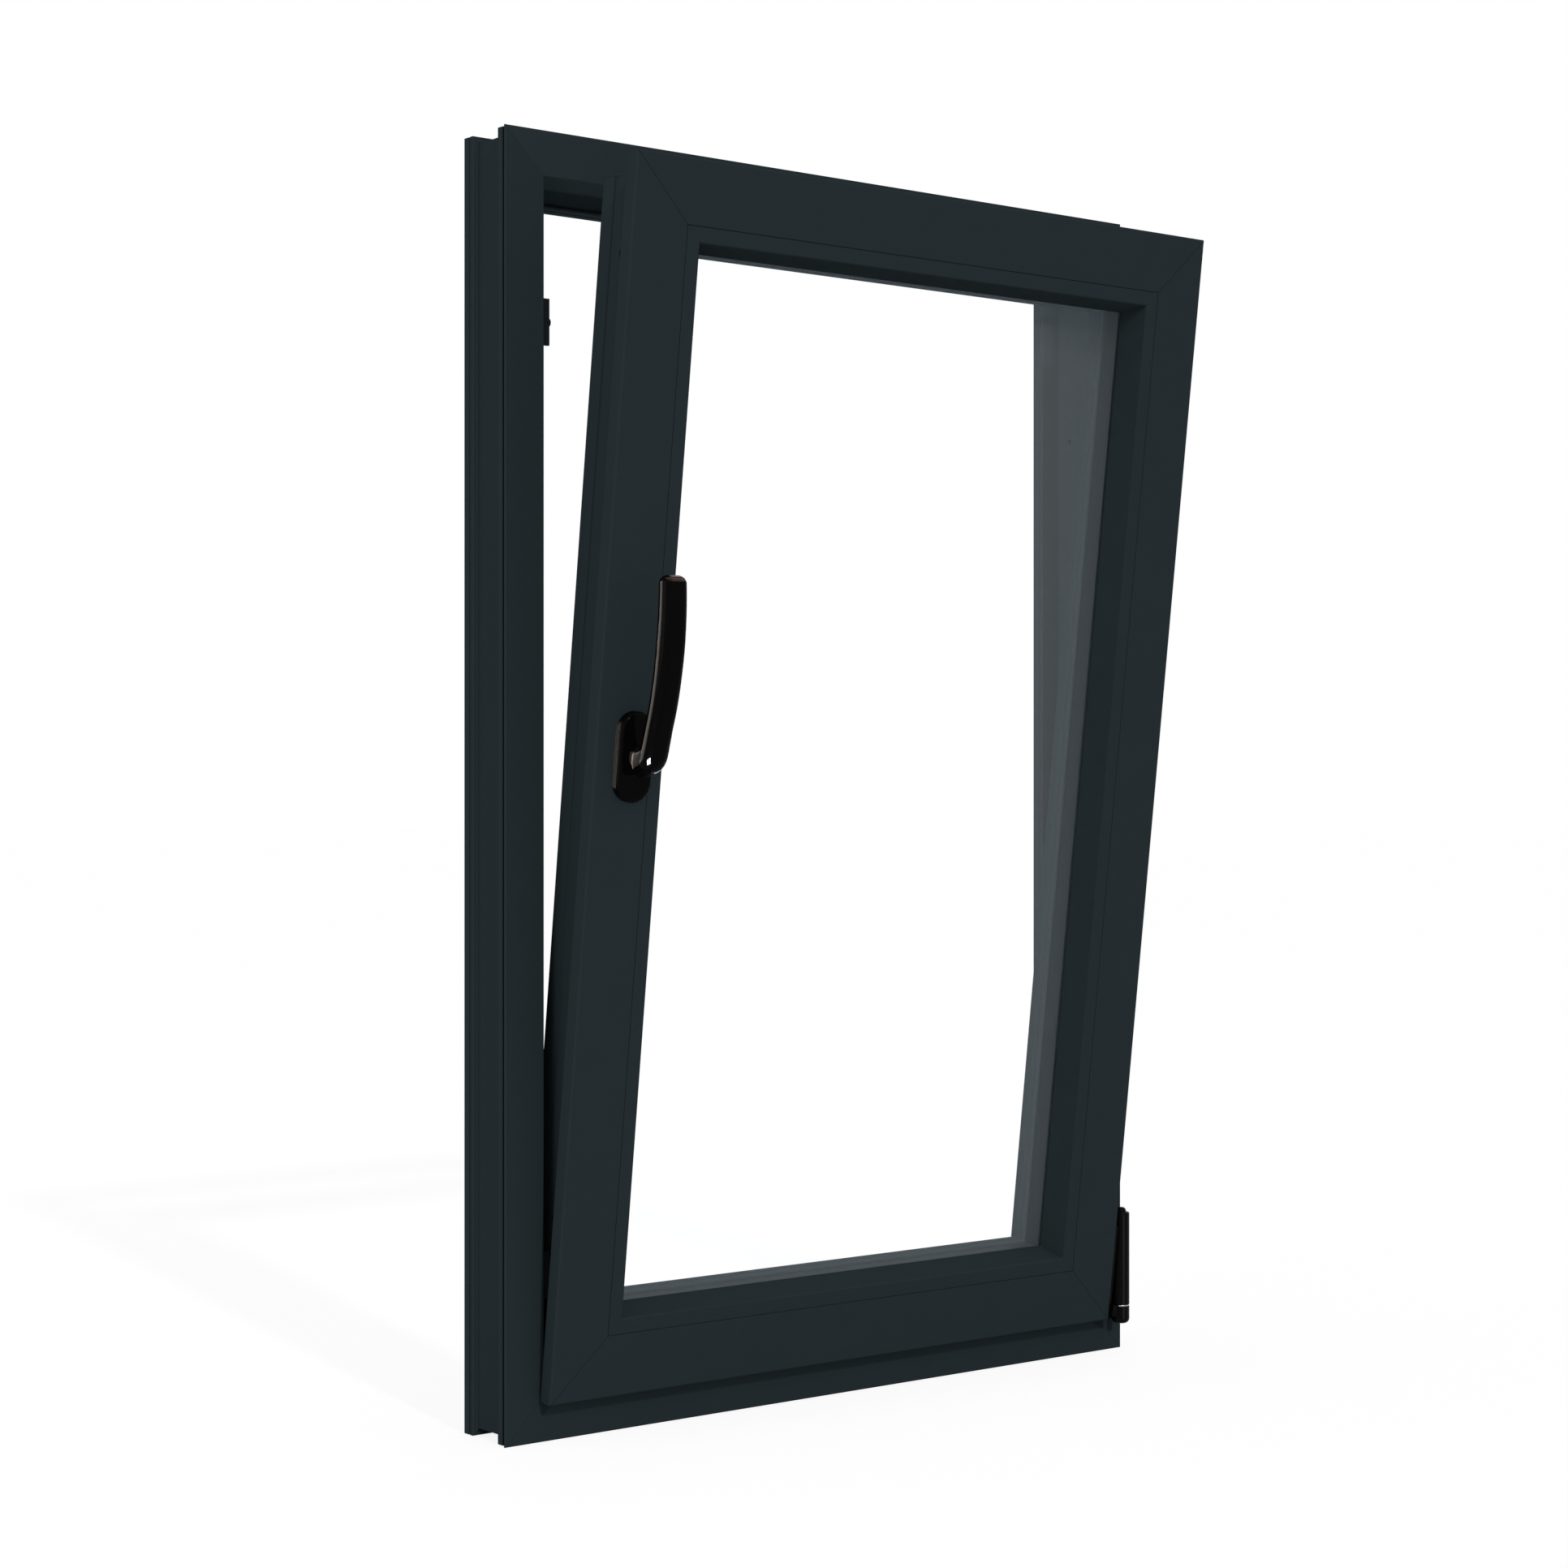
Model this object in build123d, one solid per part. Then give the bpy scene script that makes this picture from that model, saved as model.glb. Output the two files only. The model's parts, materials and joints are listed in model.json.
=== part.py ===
from build123d import *
import os
from math import asin, cos, pi, radians, sin

# Inward tilt-and-turn window: a mitred hollow frame, a mitred hollow sash with a double-glazed
# unit, and the hardware that lets the sash tilt or turn. Millimetres, +Z up, +Y towards outdoors.
# The model is drawn in window coordinates: x from the frame's left edge, y from its room face,
# z from its bottom edge. Saving moves it so that the origin is the middle of the sill's seat.
# The sash is drawn closed and then leaned into the tilt position, which is the rest pose.

# Frame, overall
FRAME_WIDTH = 740.0
FRAME_HEIGHT = 1145.0
FRAME_DEPTH = 70.0

# Frame section, measured inward from the outer edge and outward from the room face
FRAME_FACE_WIDTH = 40.3
FRAME_LIP_OVERHANG = 17.3
FRAME_LIP_THICKNESS = 10.0
PROFILE_WALL = 3.0
DRAIN_GROOVE_WIDTH = 10.0
DRAIN_GROOVE_DEPTH = 6.3
SEAT_DEPTH = 7.0
LEG_SETBACK = 1.0
EDGE_FIN = 2.0
FIN_GROOVE_WIDTH = 3.5
FIN_GROOVE_DEPTH = 4.5
FRONT_LEG = 9.0
MIDDLE_LEG = 6.0
REAR_GROOVE_WIDTH = 2.0
REAR_GROOVE_DEPTH = 3.0
REAR_LEG = 8.5
FRONT_CHAMBER = 14.5
MARK_DEPTH = 38.0
MARK_WIDTH = 1.0

# Sash section, measured inward from the flange edge and outward from the sash's room face
FLANGE_OVERLAP = 6.1
HARDWARE_GAP = 12.2
FLANGE_THICKNESS = 15.4
SEAL_GAP = 3.7
REAR_SEAL_GAP = 2.7
SASH_FACE_WIDTH = 56.2
GLAZING_SEAT = 1.3
SHOULDER_DEPTH = 4.0
GROOVE_WIDTH = 12.0
GROOVE_DEPTH = 6.2
GROOVE_OFFSET = 13.0
REAR_LINE_OFFSET = 18.0
REAR_LINE_WIDTH = 5.0
REAR_LINE_DEPTH = 1.2
SASH_LIP_STRAIGHT = 8.6
SASH_LIP_SLOPE = 4.5

# Glazing
BEAD_JOINT = 0.4
BEAD_FACE = 13.75
BEAD_DEPTH = 28.0
BEAD_SLOPE = 7.1
BEAD_EDGE = 1.0
BEAD_WALL = 2.5
INNER_SEAL = 2.0
OUTER_SEAL = 3.4
GLAZING_SEAL_WIDTH = 4.5
GLAZING_SEAL_SETBACK = 0.5
PANE = 4.0
GLASS_CAVITY = 16.0
GLASS_EDGE_GAP = 5.0
SEALANT_WIDTH = 3.0
SPACER_WIDTH = 9.0
BLOCK_LENGTH = 100.0
BLOCK_FROM_CORNER = 130.0

# Reinforcement
STEEL_WALL = 1.5
STEEL_CLEARANCE = 0.4
STEEL_END_GAP = 12.0

# Seals
SEAL_WIDTH = 3.0
FLANGE_SEAL_SETBACK = 1.5
FLANGE_SEAL_CLEARANCE = 1.4
FRAME_SEAL_WIDTH = 4.0
FRAME_SEAL_SETBACK = 1.6
FRAME_SEAL_CLEARANCE = 0.35

# Edge roundings
SOFT_EDGE = 2.0
MEDIUM_EDGE = 1.4
FINE_EDGE = 0.8
HAIR_EDGE = 0.3

# Tilt and turn axes
TILT_ANGLE = 7.1
HINGE_OUT = 15.2
HINGE_FORWARD = 19.0
TILT_HEIGHT = 10.3
RUNNING = 0.05
PLAY = 0.3

# Corner hinge
HINGE_RADIUS = 9.0
HINGE_CORE_RADIUS = 7.0
BARREL_LENGTH = 93.0
BARREL_ROUND = 2.0
BARREL_CAP_RADIUS = 5.5
BARREL_CAP_HEIGHT = 4.5
BARREL_CAP_ROUND = 3.5
CUP_HEIGHT = 17.0
CUP_BELOW_AXIS = 14.5
CUP_ROUND = 5.0
PIVOT_RADIUS = 4.0
PIVOT_LENGTH = 13.0
RING_RADIUS = 8.5
RING_HEIGHT = 2.0
LEAF_THICKNESS = 2.3
EAR_THICKNESS = 3.0
EAR_HALF_WIDTH = 5.0
EAR_DROP = 6.0
TRUNNION_RADIUS = 2.6
PLATE_THICKNESS = 3.0
PLATE_WIDTH = 22.0
PLATE_HEIGHT = 64.0
PLATE_ABOVE_CUP = 1.0
BRACKET_WIDTH = 14.0
LEAF_HEIGHT = 92.0

# Stay
STAY_REACH = 340.0
STAY_HEIGHT = 8.0
STAY_ABOVE_BODY = 2.7
STAY_PLATE = 2.5
STAY_BAR_WIDTH = 8.0
STAY_CRANK_IN = 10.0
STAY_CRANK_LENGTH = 18.0
STAY_PIN_RADIUS = 3.0
SLIDE_PIN_RADIUS = 2.5
SLIDE_PIN_DEPTH = 6.9
EYE_RADIUS = 8.0
STAY_CUP_HEIGHT = 25.0
STAY_CAP_HEIGHT = 10.0
GUIDE_DEPTH = 8.9
GUIDE_FLOOR = 1.5
GUIDE_WALL = 1.4
GUIDE_SIDE = 36.0

# Drive gear
FACEPLATE = 2.4
FACEPLATE_FIT = 0.1
ROD_THICKNESS = 2.5
ROD_WIDTH = 10.0
ROD_TRAVEL = 36.0
CORNER_LEG = 50.0
CAM_RADIUS = 4.5
CAM_NECK_RADIUS = 3.0
CAM_REACH = 7.5
SLOT_CLEARANCE = 0.4
CAM_LOCK_OFFSET = 12.0
ROD_TAIL = 9.0
ROD_UNDER_CORNER = 15.0

# Keeps
KEEP_LENGTH = 41.0
KEEP_BASE = 2.5
KEEP_WALL_REACH = 6.3
KEEP_WALL = 3.1
KEEP_FRONT = 1.5
KEEP_BACK = 20.0
KEEP_BOSS_RADIUS = 4.0
KEEP_BOSS_ROUND = 0.6
KEEP_BOSS_REACH = 8.0
KEEP_UPPER_FROM_TOP = 167.0
KEEP_LOWER_HEIGHT = 145.0
KEEP_HEAD_BEFORE_GUIDE = 96.0
KEEP_TILT_FROM_LEFT = 200.0
KEEP_TILT_GAP = 13.0
KEEP_SCREW_PITCH = 26.0
KEEP_SCREW_DEPTH = 13.5

# Screws
SCREW_RADIUS = 2.0
SCREW_LENGTH = 16.0
SCREW_HEAD_RADIUS = 3.8
SCREW_HEAD = 1.6
SCREW_FIT = 0.05
SCREW_HEAD_ROUND = 0.7
RECESS_LENGTH = 4.2
RECESS_WIDTH = 1.0
RECESS_DEPTH = 1.0
BEARING_SCREW_PITCH = 30.0
LEAF_SCREW_PITCH = 34.0

# Fixing holes through the head and the hinge-side jamb
FIXING_RADIUS = 3.1
JAMB_FIXING_PITCH = 700.0
HEAD_FIXING_PITCH = 440.0

# Drainage
DRAIN_SLOT_LENGTH = 28.0
DRAIN_SLOT_WIDTH = 5.0
DRAIN_FROM_END = 150.0
DRAIN_CAP_LENGTH = 44.0
DRAIN_CAP_HEIGHT = 16.0
DRAIN_CAP_DEPTH = 5.0
DRAIN_CAP_WALL = 1.5

# Handle
HANDLE_FROM_EDGE = 37.0
HANDLE_ABOVE_MIDDLE = 29.5
ROSE_LENGTH = 78.8
ROSE_WIDTH = 35.8
ROSE_DEPTH = 9.0
ROSE_WALL = 1.8
ROSE_ROUND = 3.5
ROSE_BASE = 2.4
ROSE_BASE_MARGIN = 0.4
NECK_RADIUS = 9.5
NECK_LENGTH = 14.0
NECK_STRAIGHT = 17.0
ELBOW_RADIUS = 16.0
ELBOW_TURN = 71.5
LOWER_BOW_RADIUS = 250.0
LOWER_BOW_TURN = 12.0
UPPER_BOW_RADIUS = 364.0
UPPER_BOW_TURN = 14.0
TIP_ROUND = 7.5
TIP_TURNS = (30.0, 60.0, 80.0)
SPINDLE = 7.0
SPINDLE_FIT = 0.1
SPINDLE_HOLE_RADIUS = 6.0
HANDLE_SCREW_PITCH = 43.0
HANDLE_SCREW_RADIUS = 2.5
HANDLE_SCREW_HEAD_RADIUS = 4.4
HANDLE_SCREW_HEAD = 2.6
HUB_RADIUS = 11.0
HUB_CLEARANCE = 0.5
GEARBOX_LENGTH = 100.0
GEARBOX_WIDTH = 27.5

# The lever along its length: share of the length, then shares of its width across the grip,
# of its thickness through the bend and of the bend's swell outward of its middle line
LEVER_WIDTH = 25.0
LEVER_BEND_THICKNESS = 25.0
LEVER_BEND_SWELL = 2.5
LEVER_SHAPE = ((0.0, 0.76, 0.76, 0.0), (0.045, 0.96, 1.08, 1.0), (0.1, 1.02, 1.0, 1.0),
               (0.16, 1.0, 0.86, 0.4), (0.25, 1.0, 0.74, 0.0), (0.45, 1.02, 0.7, 0.0),
               (0.7, 1.04, 0.68, 0.0), (1.0, 1.0, 0.64, 0.0))
LEVER_STATIONS = 26
LEVER_ROUND_SHARE = 0.47

# Places worked out from the sizes above
FRAME_LIP_REACH = FRAME_FACE_WIDTH + FRAME_LIP_OVERHANG
LIP_Y = FRAME_DEPTH - FRAME_LIP_THICKNESS
DRAIN_Y = LIP_Y - DRAIN_GROOVE_WIDTH
DRAIN_U = FRAME_FACE_WIDTH - DRAIN_GROOVE_DEPTH
SEAT_Y = (EDGE_FIN + FIN_GROOVE_WIDTH + FRONT_LEG,
          FRAME_DEPTH - REAR_LEG - REAR_GROOVE_WIDTH - MIDDLE_LEG)
CHAMBER_U = SEAT_DEPTH + PROFILE_WALL
FRAME_STEEL_Y = (PROFILE_WALL + FRONT_CHAMBER + PROFILE_WALL, DRAIN_Y - PROFILE_WALL)
FRAME_STEEL_U = (CHAMBER_U, FRAME_FACE_WIDTH - PROFILE_WALL)

SASH_INSET = FRAME_FACE_WIDTH - FLANGE_OVERLAP
FLANGE_WIDTH = FLANGE_OVERLAP + HARDWARE_GAP
BODY_U = SASH_INSET + FLANGE_WIDTH
SASH_Y = -(FLANGE_THICKNESS + SEAL_GAP)
SASH_DEPTH = LIP_Y - REAR_SEAL_GAP - SASH_Y
GROOVE_T = FLANGE_THICKNESS + GROOVE_OFFSET
GROOVE_Y = SASH_Y + GROOVE_T
GROOVE_V = FLANGE_WIDTH + GROOVE_DEPTH
SEAT_V = SASH_FACE_WIDTH + GLAZING_SEAT
BEAD_V = SASH_FACE_WIDTH + BEAD_JOINT
SIGHT_V = BEAD_V + BEAD_FACE + BEAD_SLOPE
GLASS_V = SEAT_V + GLASS_EDGE_GAP
GLASS_T = BEAD_DEPTH + INNER_SEAL
GLASS_THICKNESS = 2 * PANE + GLASS_CAVITY
SASH_LIP_T = GLASS_T + GLASS_THICKNESS + OUTER_SEAL
SASH_STEEL_T = (GROOVE_T + GROOVE_WIDTH / 2 + PROFILE_WALL, SASH_LIP_T - PROFILE_WALL)
SASH_STEEL_V = (FLANGE_WIDTH + PROFILE_WALL, SEAT_V - PROFILE_WALL)
HARDWARE_V = (GROOVE_V + PROFILE_WALL, SEAT_V - PROFILE_WALL)

HINGE_X = FRAME_WIDTH - SASH_INSET + HINGE_OUT
HINGE_Y = -HINGE_FORWARD
TILT_Z = SASH_INSET + TILT_HEIGHT
CUP_LOW = TILT_Z - CUP_BELOW_AXIS
CUP_TOP = CUP_LOW + CUP_HEIGHT
RING_LOW = CUP_TOP + PLAY
BARREL_LOW = RING_LOW + RING_HEIGHT
BARREL_TOP = BARREL_LOW + BARREL_LENGTH
SASH_RIGHT = FRAME_WIDTH - SASH_INSET

BODY_TOP = FRAME_HEIGHT - BODY_U
STAY_LOW = BODY_TOP + STAY_ABOVE_BODY
STAY_TOP = STAY_LOW + STAY_HEIGHT
PIN_OFFSET_CLOSED = GROOVE_Y - HINGE_Y
PIN_OFFSET_TILTED = (PIN_OFFSET_CLOSED * cos(radians(TILT_ANGLE))
                     - (BODY_TOP - GUIDE_DEPTH / 2 - TILT_Z) * sin(radians(TILT_ANGLE)))
STAY_CLOSED_ANGLE = asin(PIN_OFFSET_CLOSED / STAY_REACH)
STAY_TILTED_ANGLE = asin(PIN_OFFSET_TILTED / STAY_REACH)
STAY_SWING = (STAY_CLOSED_ANGLE - STAY_TILTED_ANGLE) * 180 / pi
SLIDE_X = HINGE_X - STAY_REACH * cos(STAY_CLOSED_ANGLE)
GUIDE_X = (SLIDE_X - GUIDE_SIDE, SLIDE_X + GUIDE_SIDE)
KEEP_UPPER_HEIGHT = FRAME_HEIGHT - KEEP_UPPER_FROM_TOP
KEEP_HEAD_FROM_LEFT = GUIDE_X[0] - KEEP_HEAD_BEFORE_GUIDE

LEVER_ARCS = ((ELBOW_RADIUS, ELBOW_TURN), (LOWER_BOW_RADIUS, LOWER_BOW_TURN),
              (UPPER_BOW_RADIUS, UPPER_BOW_TURN))
LEVER_LENGTH = (NECK_STRAIGHT - NECK_LENGTH
                + sum(radius * radians(turn) for radius, turn in LEVER_ARCS))
HANDLE_X = SASH_INSET + HANDLE_FROM_EDGE
HANDLE_HEIGHT = FRAME_HEIGHT / 2 + HANDLE_ABOVE_MIDDLE
FIXING_Y = sum(FRAME_STEEL_Y) / 2
FIXINGS = {
    "right": [FRAME_HEIGHT / 2 + step * JAMB_FIXING_PITCH / 2 for step in (-1, 1)],
    "top": [FRAME_WIDTH / 2 + step * HEAD_FIXING_PITCH / 2 for step in (-1, 1)],
}

SIDES = ("bottom", "top", "left", "right")
RUN_NAMES = {"bottom": "sill", "top": "head", "left": "jamb_left", "right": "jamb_right"}
RAIL_NAMES = {"bottom": "bottom_rail", "top": "top_rail", "left": "handle_stile",
              "right": "hinge_stile"}


# Helpers

def block(x_span, y_span, z_span):
    """A box between two corners, in window coordinates."""
    spans = (x_span, y_span, z_span)
    centre = [(low + high) / 2 for low, high in spans]
    return Pos(*centre) * Box(*[abs(high - low) for low, high in spans])


def post(x, y, z_span, radius):
    """An upright cylinder."""
    low, high = z_span
    return Pos(x, y, (low + high) / 2) * Cylinder(radius, high - low)


def spigot(x, z, y_span, radius):
    """A cylinder along the window's depth."""
    low, high = y_span
    return Pos(x, (low + high) / 2, z) * Rot(90, 0, 0) * Cylinder(radius, high - low)


def side_block(side, u_span, y_span, along):
    """A box at one side of the window, placed from that side's outer frame edge."""
    if side == "left":
        return block(u_span, y_span, along)
    if side == "right":
        return block([FRAME_WIDTH - u for u in u_span], y_span, along)
    if side == "bottom":
        return block(along, y_span, u_span)
    return block(along, y_span, [FRAME_HEIGHT - u for u in u_span])


def side_stud(side, u_span, y, along, radius):
    """A cylinder square to one side of the window."""
    low, high = u_span
    return side_seat(side, (low + high) / 2, y, along) * Cylinder(radius, high - low)


def screw(place, length, radius, head_radius, head):
    """A screw whose head stands on its seat: rounded rim, cross recess, shank below the seat."""
    cap = Pos(0, 0, head / 2) * Cylinder(head_radius, head)
    cap = fillet(cap.edges().filter_by(GeomType.CIRCLE).sort_by(Axis.Z)[-1], SCREW_HEAD_ROUND)
    for length_x, length_y in ((RECESS_LENGTH, RECESS_WIDTH), (RECESS_WIDTH, RECESS_LENGTH)):
        cap -= Pos(0, 0, head - RECESS_DEPTH / 2) * Box(length_x, length_y, RECESS_DEPTH)
    return place * (cap + Pos(0, 0, -length / 2) * Cylinder(radius, length))


def side_seat(side, u, y, along):
    """A seat at one side of the window that faces its middle."""
    return {
        "left": Pos(u, y, along) * Rot(0, 90, 0),
        "right": Pos(FRAME_WIDTH - u, y, along) * Rot(0, -90, 0),
        "bottom": Pos(along, y, u),
        "top": Pos(along, y, FRAME_HEIGHT - u) * Rot(180, 0, 0),
    }[side]


def room_seat(x, y, z):
    """A seat that faces the room."""
    return Pos(x, y, z) * Rot(90, 0, 0)


def side_planes(side, inset, y):
    """The section plane at a side's first corner, the mitre plane there, and the side's length."""
    left, right = inset, FRAME_WIDTH - inset
    low, high = inset, FRAME_HEIGHT - inset
    corner, inward, length = {
        "bottom": ((right, y, low), (0, 0, 1), right - left),
        "top": ((left, y, high), (0, 0, -1), right - left),
        "left": ((left, y, low), (1, 0, 0), high - low),
        "right": ((right, y, high), (-1, 0, 0), high - low),
    }[side]
    along = Vector(*inward).cross(Vector(0, 1, 0))
    section_plane = Plane(origin=corner, x_dir=inward, z_dir=along)
    mitre_plane = Plane(origin=corner, x_dir=along, z_dir=(0, 1, 0))
    return section_plane, mitre_plane, length


def mitred_run(section, side, inset, y, reach):
    """One side of a mitred ring: the section run along the side and cut at 45 degrees."""
    section_plane, mitre_plane, length = side_planes(side, inset, y)
    bar = extrude(section_plane * section, amount=length, dir=section_plane.z_dir)
    outline = Polygon((0, 0), (length, 0), (length - reach, reach), (reach, reach), align=None)
    wedge = extrude(mitre_plane * outline, amount=2 * FRAME_DEPTH, both=True)
    return bar & wedge


def plain_run(section, side, inset, y, end_gap):
    """One straight length along a side, square at both ends."""
    plane, _, length = side_planes(side, inset, y)
    start = plane.offset(end_gap)
    return extrude(start * section, amount=length - 2 * end_gap, dir=plane.z_dir)


def outline(points):
    """A closed face from corner points."""
    return make_face(Polyline(*points, close=True))


def rectangle(u_span, t_span):
    """A rectangle between two corners of a section."""
    (u0, u1), (t0, t1) = u_span, t_span
    return outline(((u0, t0), (u1, t0), (u1, t1), (u0, t1)))


def rounded(section, corners, radius):
    """Rounds the named corners of a section."""
    chosen = [v for v in section.vertices()
              if any(abs(v.X - u) + abs(v.Y - t) < 1e-4 for u, t in corners)]
    return fillet(chosen, radius)


def tube(u_span, t_span, wall, clearance):
    """A rectangular tube section inside a chamber."""
    u0, u1 = u_span[0] + clearance, u_span[1] - clearance
    t0, t1 = t_span[0] + clearance, t_span[1] - clearance
    hollow = rectangle((u0 + wall, u1 - wall), (t0 + wall, t1 - wall))
    return rectangle((u0, u1), (t0, t1)) - hollow


def stadium(length, width, y_span, x, z):
    """An upright plate with round ends, standing on the sash's face."""
    low, high = y_span
    plane = Plane(origin=(x, high, z), x_dir=(0, 0, 1), z_dir=(0, -1, 0))
    return extrude(plane * SlotOverall(length, width), amount=high - low, dir=(0, -1, 0))


def leaned(shape):
    """Moves a closed sash piece to the tilt position."""
    return shape.rotate(Axis((0, HINGE_Y, TILT_Z), (1, 0, 0)), TILT_ANGLE)


def save(node, *pieces):
    """Writes one node, moved to the part's own origin."""
    home = Pos(-FRAME_WIDTH / 2, -FRAME_DEPTH / 2, -SEAT_DEPTH)
    solids = [solid for piece in pieces for solid in (home * piece).solids()]
    shape = solids[0] if len(solids) == 1 else Compound(children=solids)
    export_step(shape, f"parts/{node}.step")


# Sections

def frame_section():
    """The frame's hollow section: room face, rebate, drain groove, outer lip and outer legs."""
    mark = MARK_WIDTH / 2
    rear_groove = (FRAME_DEPTH - REAR_LEG - REAR_GROOVE_WIDTH, FRAME_DEPTH - REAR_LEG)
    fin_groove = (EDGE_FIN, EDGE_FIN + FIN_GROOVE_WIDTH)
    solid = outline((
        (0, 0), (FRAME_FACE_WIDTH, 0),
        (FRAME_FACE_WIDTH, MARK_DEPTH - mark), (FRAME_FACE_WIDTH - mark, MARK_DEPTH),
        (FRAME_FACE_WIDTH, MARK_DEPTH + mark),
        (FRAME_FACE_WIDTH, DRAIN_Y), (DRAIN_U, DRAIN_Y), (DRAIN_U, LIP_Y),
        (FRAME_LIP_REACH, LIP_Y), (FRAME_LIP_REACH, FRAME_DEPTH),
        (LEG_SETBACK, FRAME_DEPTH), (LEG_SETBACK, rear_groove[1]),
        (LEG_SETBACK + REAR_GROOVE_DEPTH, rear_groove[1]),
        (LEG_SETBACK + REAR_GROOVE_DEPTH, rear_groove[0]),
        (LEG_SETBACK, rear_groove[0]), (LEG_SETBACK, SEAT_Y[1]),
        (SEAT_DEPTH, SEAT_Y[1]), (SEAT_DEPTH, SEAT_Y[0]),
        (LEG_SETBACK, SEAT_Y[0]), (LEG_SETBACK, fin_groove[1]),
        (FIN_GROOVE_DEPTH, fin_groove[1]), (FIN_GROOVE_DEPTH, fin_groove[0]),
        (0, fin_groove[0]),
    ))
    solid = rounded(solid, ((FRAME_LIP_REACH, FRAME_DEPTH), (LEG_SETBACK, FRAME_DEPTH)), SOFT_EDGE)
    solid = rounded(solid, ((0, 0), (FRAME_FACE_WIDTH, 0), (FRAME_LIP_REACH, LIP_Y),
                            (LEG_SETBACK, SEAT_Y[0]), (LEG_SETBACK, SEAT_Y[1])), MEDIUM_EDGE)
    front = rectangle((CHAMBER_U, FRAME_FACE_WIDTH - PROFILE_WALL),
                      (PROFILE_WALL, PROFILE_WALL + FRONT_CHAMBER))
    middle = rectangle(FRAME_STEEL_U, FRAME_STEEL_Y)
    rear = rectangle((CHAMBER_U, DRAIN_U - PROFILE_WALL),
                     (DRAIN_Y, FRAME_DEPTH - PROFILE_WALL))
    lip = rectangle((DRAIN_U, FRAME_LIP_REACH - PROFILE_WALL),
                    (LIP_Y + PROFILE_WALL, FRAME_DEPTH - PROFILE_WALL))
    return solid - front - middle - rear - lip


def sash_section():
    """The sash's hollow section: flange, hardware groove, glazing rebate and outer lip."""
    groove = (GROOVE_T - GROOVE_WIDTH / 2, GROOVE_T + GROOVE_WIDTH / 2)
    line = (SASH_DEPTH - REAR_LINE_OFFSET - REAR_LINE_WIDTH, SASH_DEPTH - REAR_LINE_OFFSET)
    slope_start = SASH_LIP_T + SASH_LIP_STRAIGHT
    solid = outline((
        (0, 0), (SASH_FACE_WIDTH, 0), (SASH_FACE_WIDTH, SHOULDER_DEPTH),
        (SEAT_V, SHOULDER_DEPTH), (SEAT_V, SASH_LIP_T), (SIGHT_V, SASH_LIP_T),
        (SIGHT_V, slope_start), (SIGHT_V - SASH_LIP_SLOPE, SASH_DEPTH),
        (FLANGE_WIDTH, SASH_DEPTH),
        (FLANGE_WIDTH, line[1]), (FLANGE_WIDTH + REAR_LINE_DEPTH, line[1]),
        (FLANGE_WIDTH + REAR_LINE_DEPTH, line[0]), (FLANGE_WIDTH, line[0]),
        (FLANGE_WIDTH, groove[1]), (GROOVE_V, groove[1]),
        (GROOVE_V, groove[0]), (FLANGE_WIDTH, groove[0]),
        (FLANGE_WIDTH, FLANGE_THICKNESS), (0, FLANGE_THICKNESS),
    ))
    solid = rounded(solid, ((0, 0), (FLANGE_WIDTH, SASH_DEPTH)), SOFT_EDGE)
    solid = rounded(solid, ((0, FLANGE_THICKNESS), (SIGHT_V - SASH_LIP_SLOPE, SASH_DEPTH)), FINE_EDGE)
    solid = rounded(solid, ((SASH_FACE_WIDTH, 0),), HAIR_EDGE)
    front = rectangle((PROFILE_WALL, SASH_FACE_WIDTH - PROFILE_WALL),
                      (PROFILE_WALL, FLANGE_THICKNESS - PROFILE_WALL))
    hardware = rectangle(HARDWARE_V, (FLANGE_THICKNESS, groove[1]))
    steel = rectangle(SASH_STEEL_V, SASH_STEEL_T)
    rear = rectangle(SASH_STEEL_V, (SASH_LIP_T, SASH_DEPTH - PROFILE_WALL))
    lip = rectangle((SEAT_V, SIGHT_V - SASH_LIP_SLOPE - PROFILE_WALL),
                    (SASH_LIP_T + PROFILE_WALL, SASH_DEPTH - PROFILE_WALL))
    return solid - front - hardware - steel - rear - lip


def bead_section():
    """The hollow glazing bead: flat face, steep side down to the glass, foot on the sash."""
    fold = BEAD_V + BEAD_FACE
    foot = SHOULDER_DEPTH - PLAY
    solid = outline((
        (BEAD_V, 0), (fold, 0), (SIGHT_V, BEAD_DEPTH - BEAD_EDGE), (SIGHT_V, BEAD_DEPTH),
        (SEAT_V, BEAD_DEPTH), (SEAT_V, foot), (BEAD_V, foot),
    ))
    solid = rounded(solid, ((fold, 0),), SOFT_EDGE)
    solid = rounded(solid, ((BEAD_V, 0),), HAIR_EDGE)
    wall = BEAD_WALL
    chamber = outline((
        (SEAT_V + wall, wall), (fold - wall, wall),
        (SIGHT_V - 2 * wall, BEAD_DEPTH - 2 * wall), (SIGHT_V - 2 * wall, BEAD_DEPTH - wall),
        (SEAT_V + wall, BEAD_DEPTH - wall),
    ))
    return solid - chamber


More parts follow.
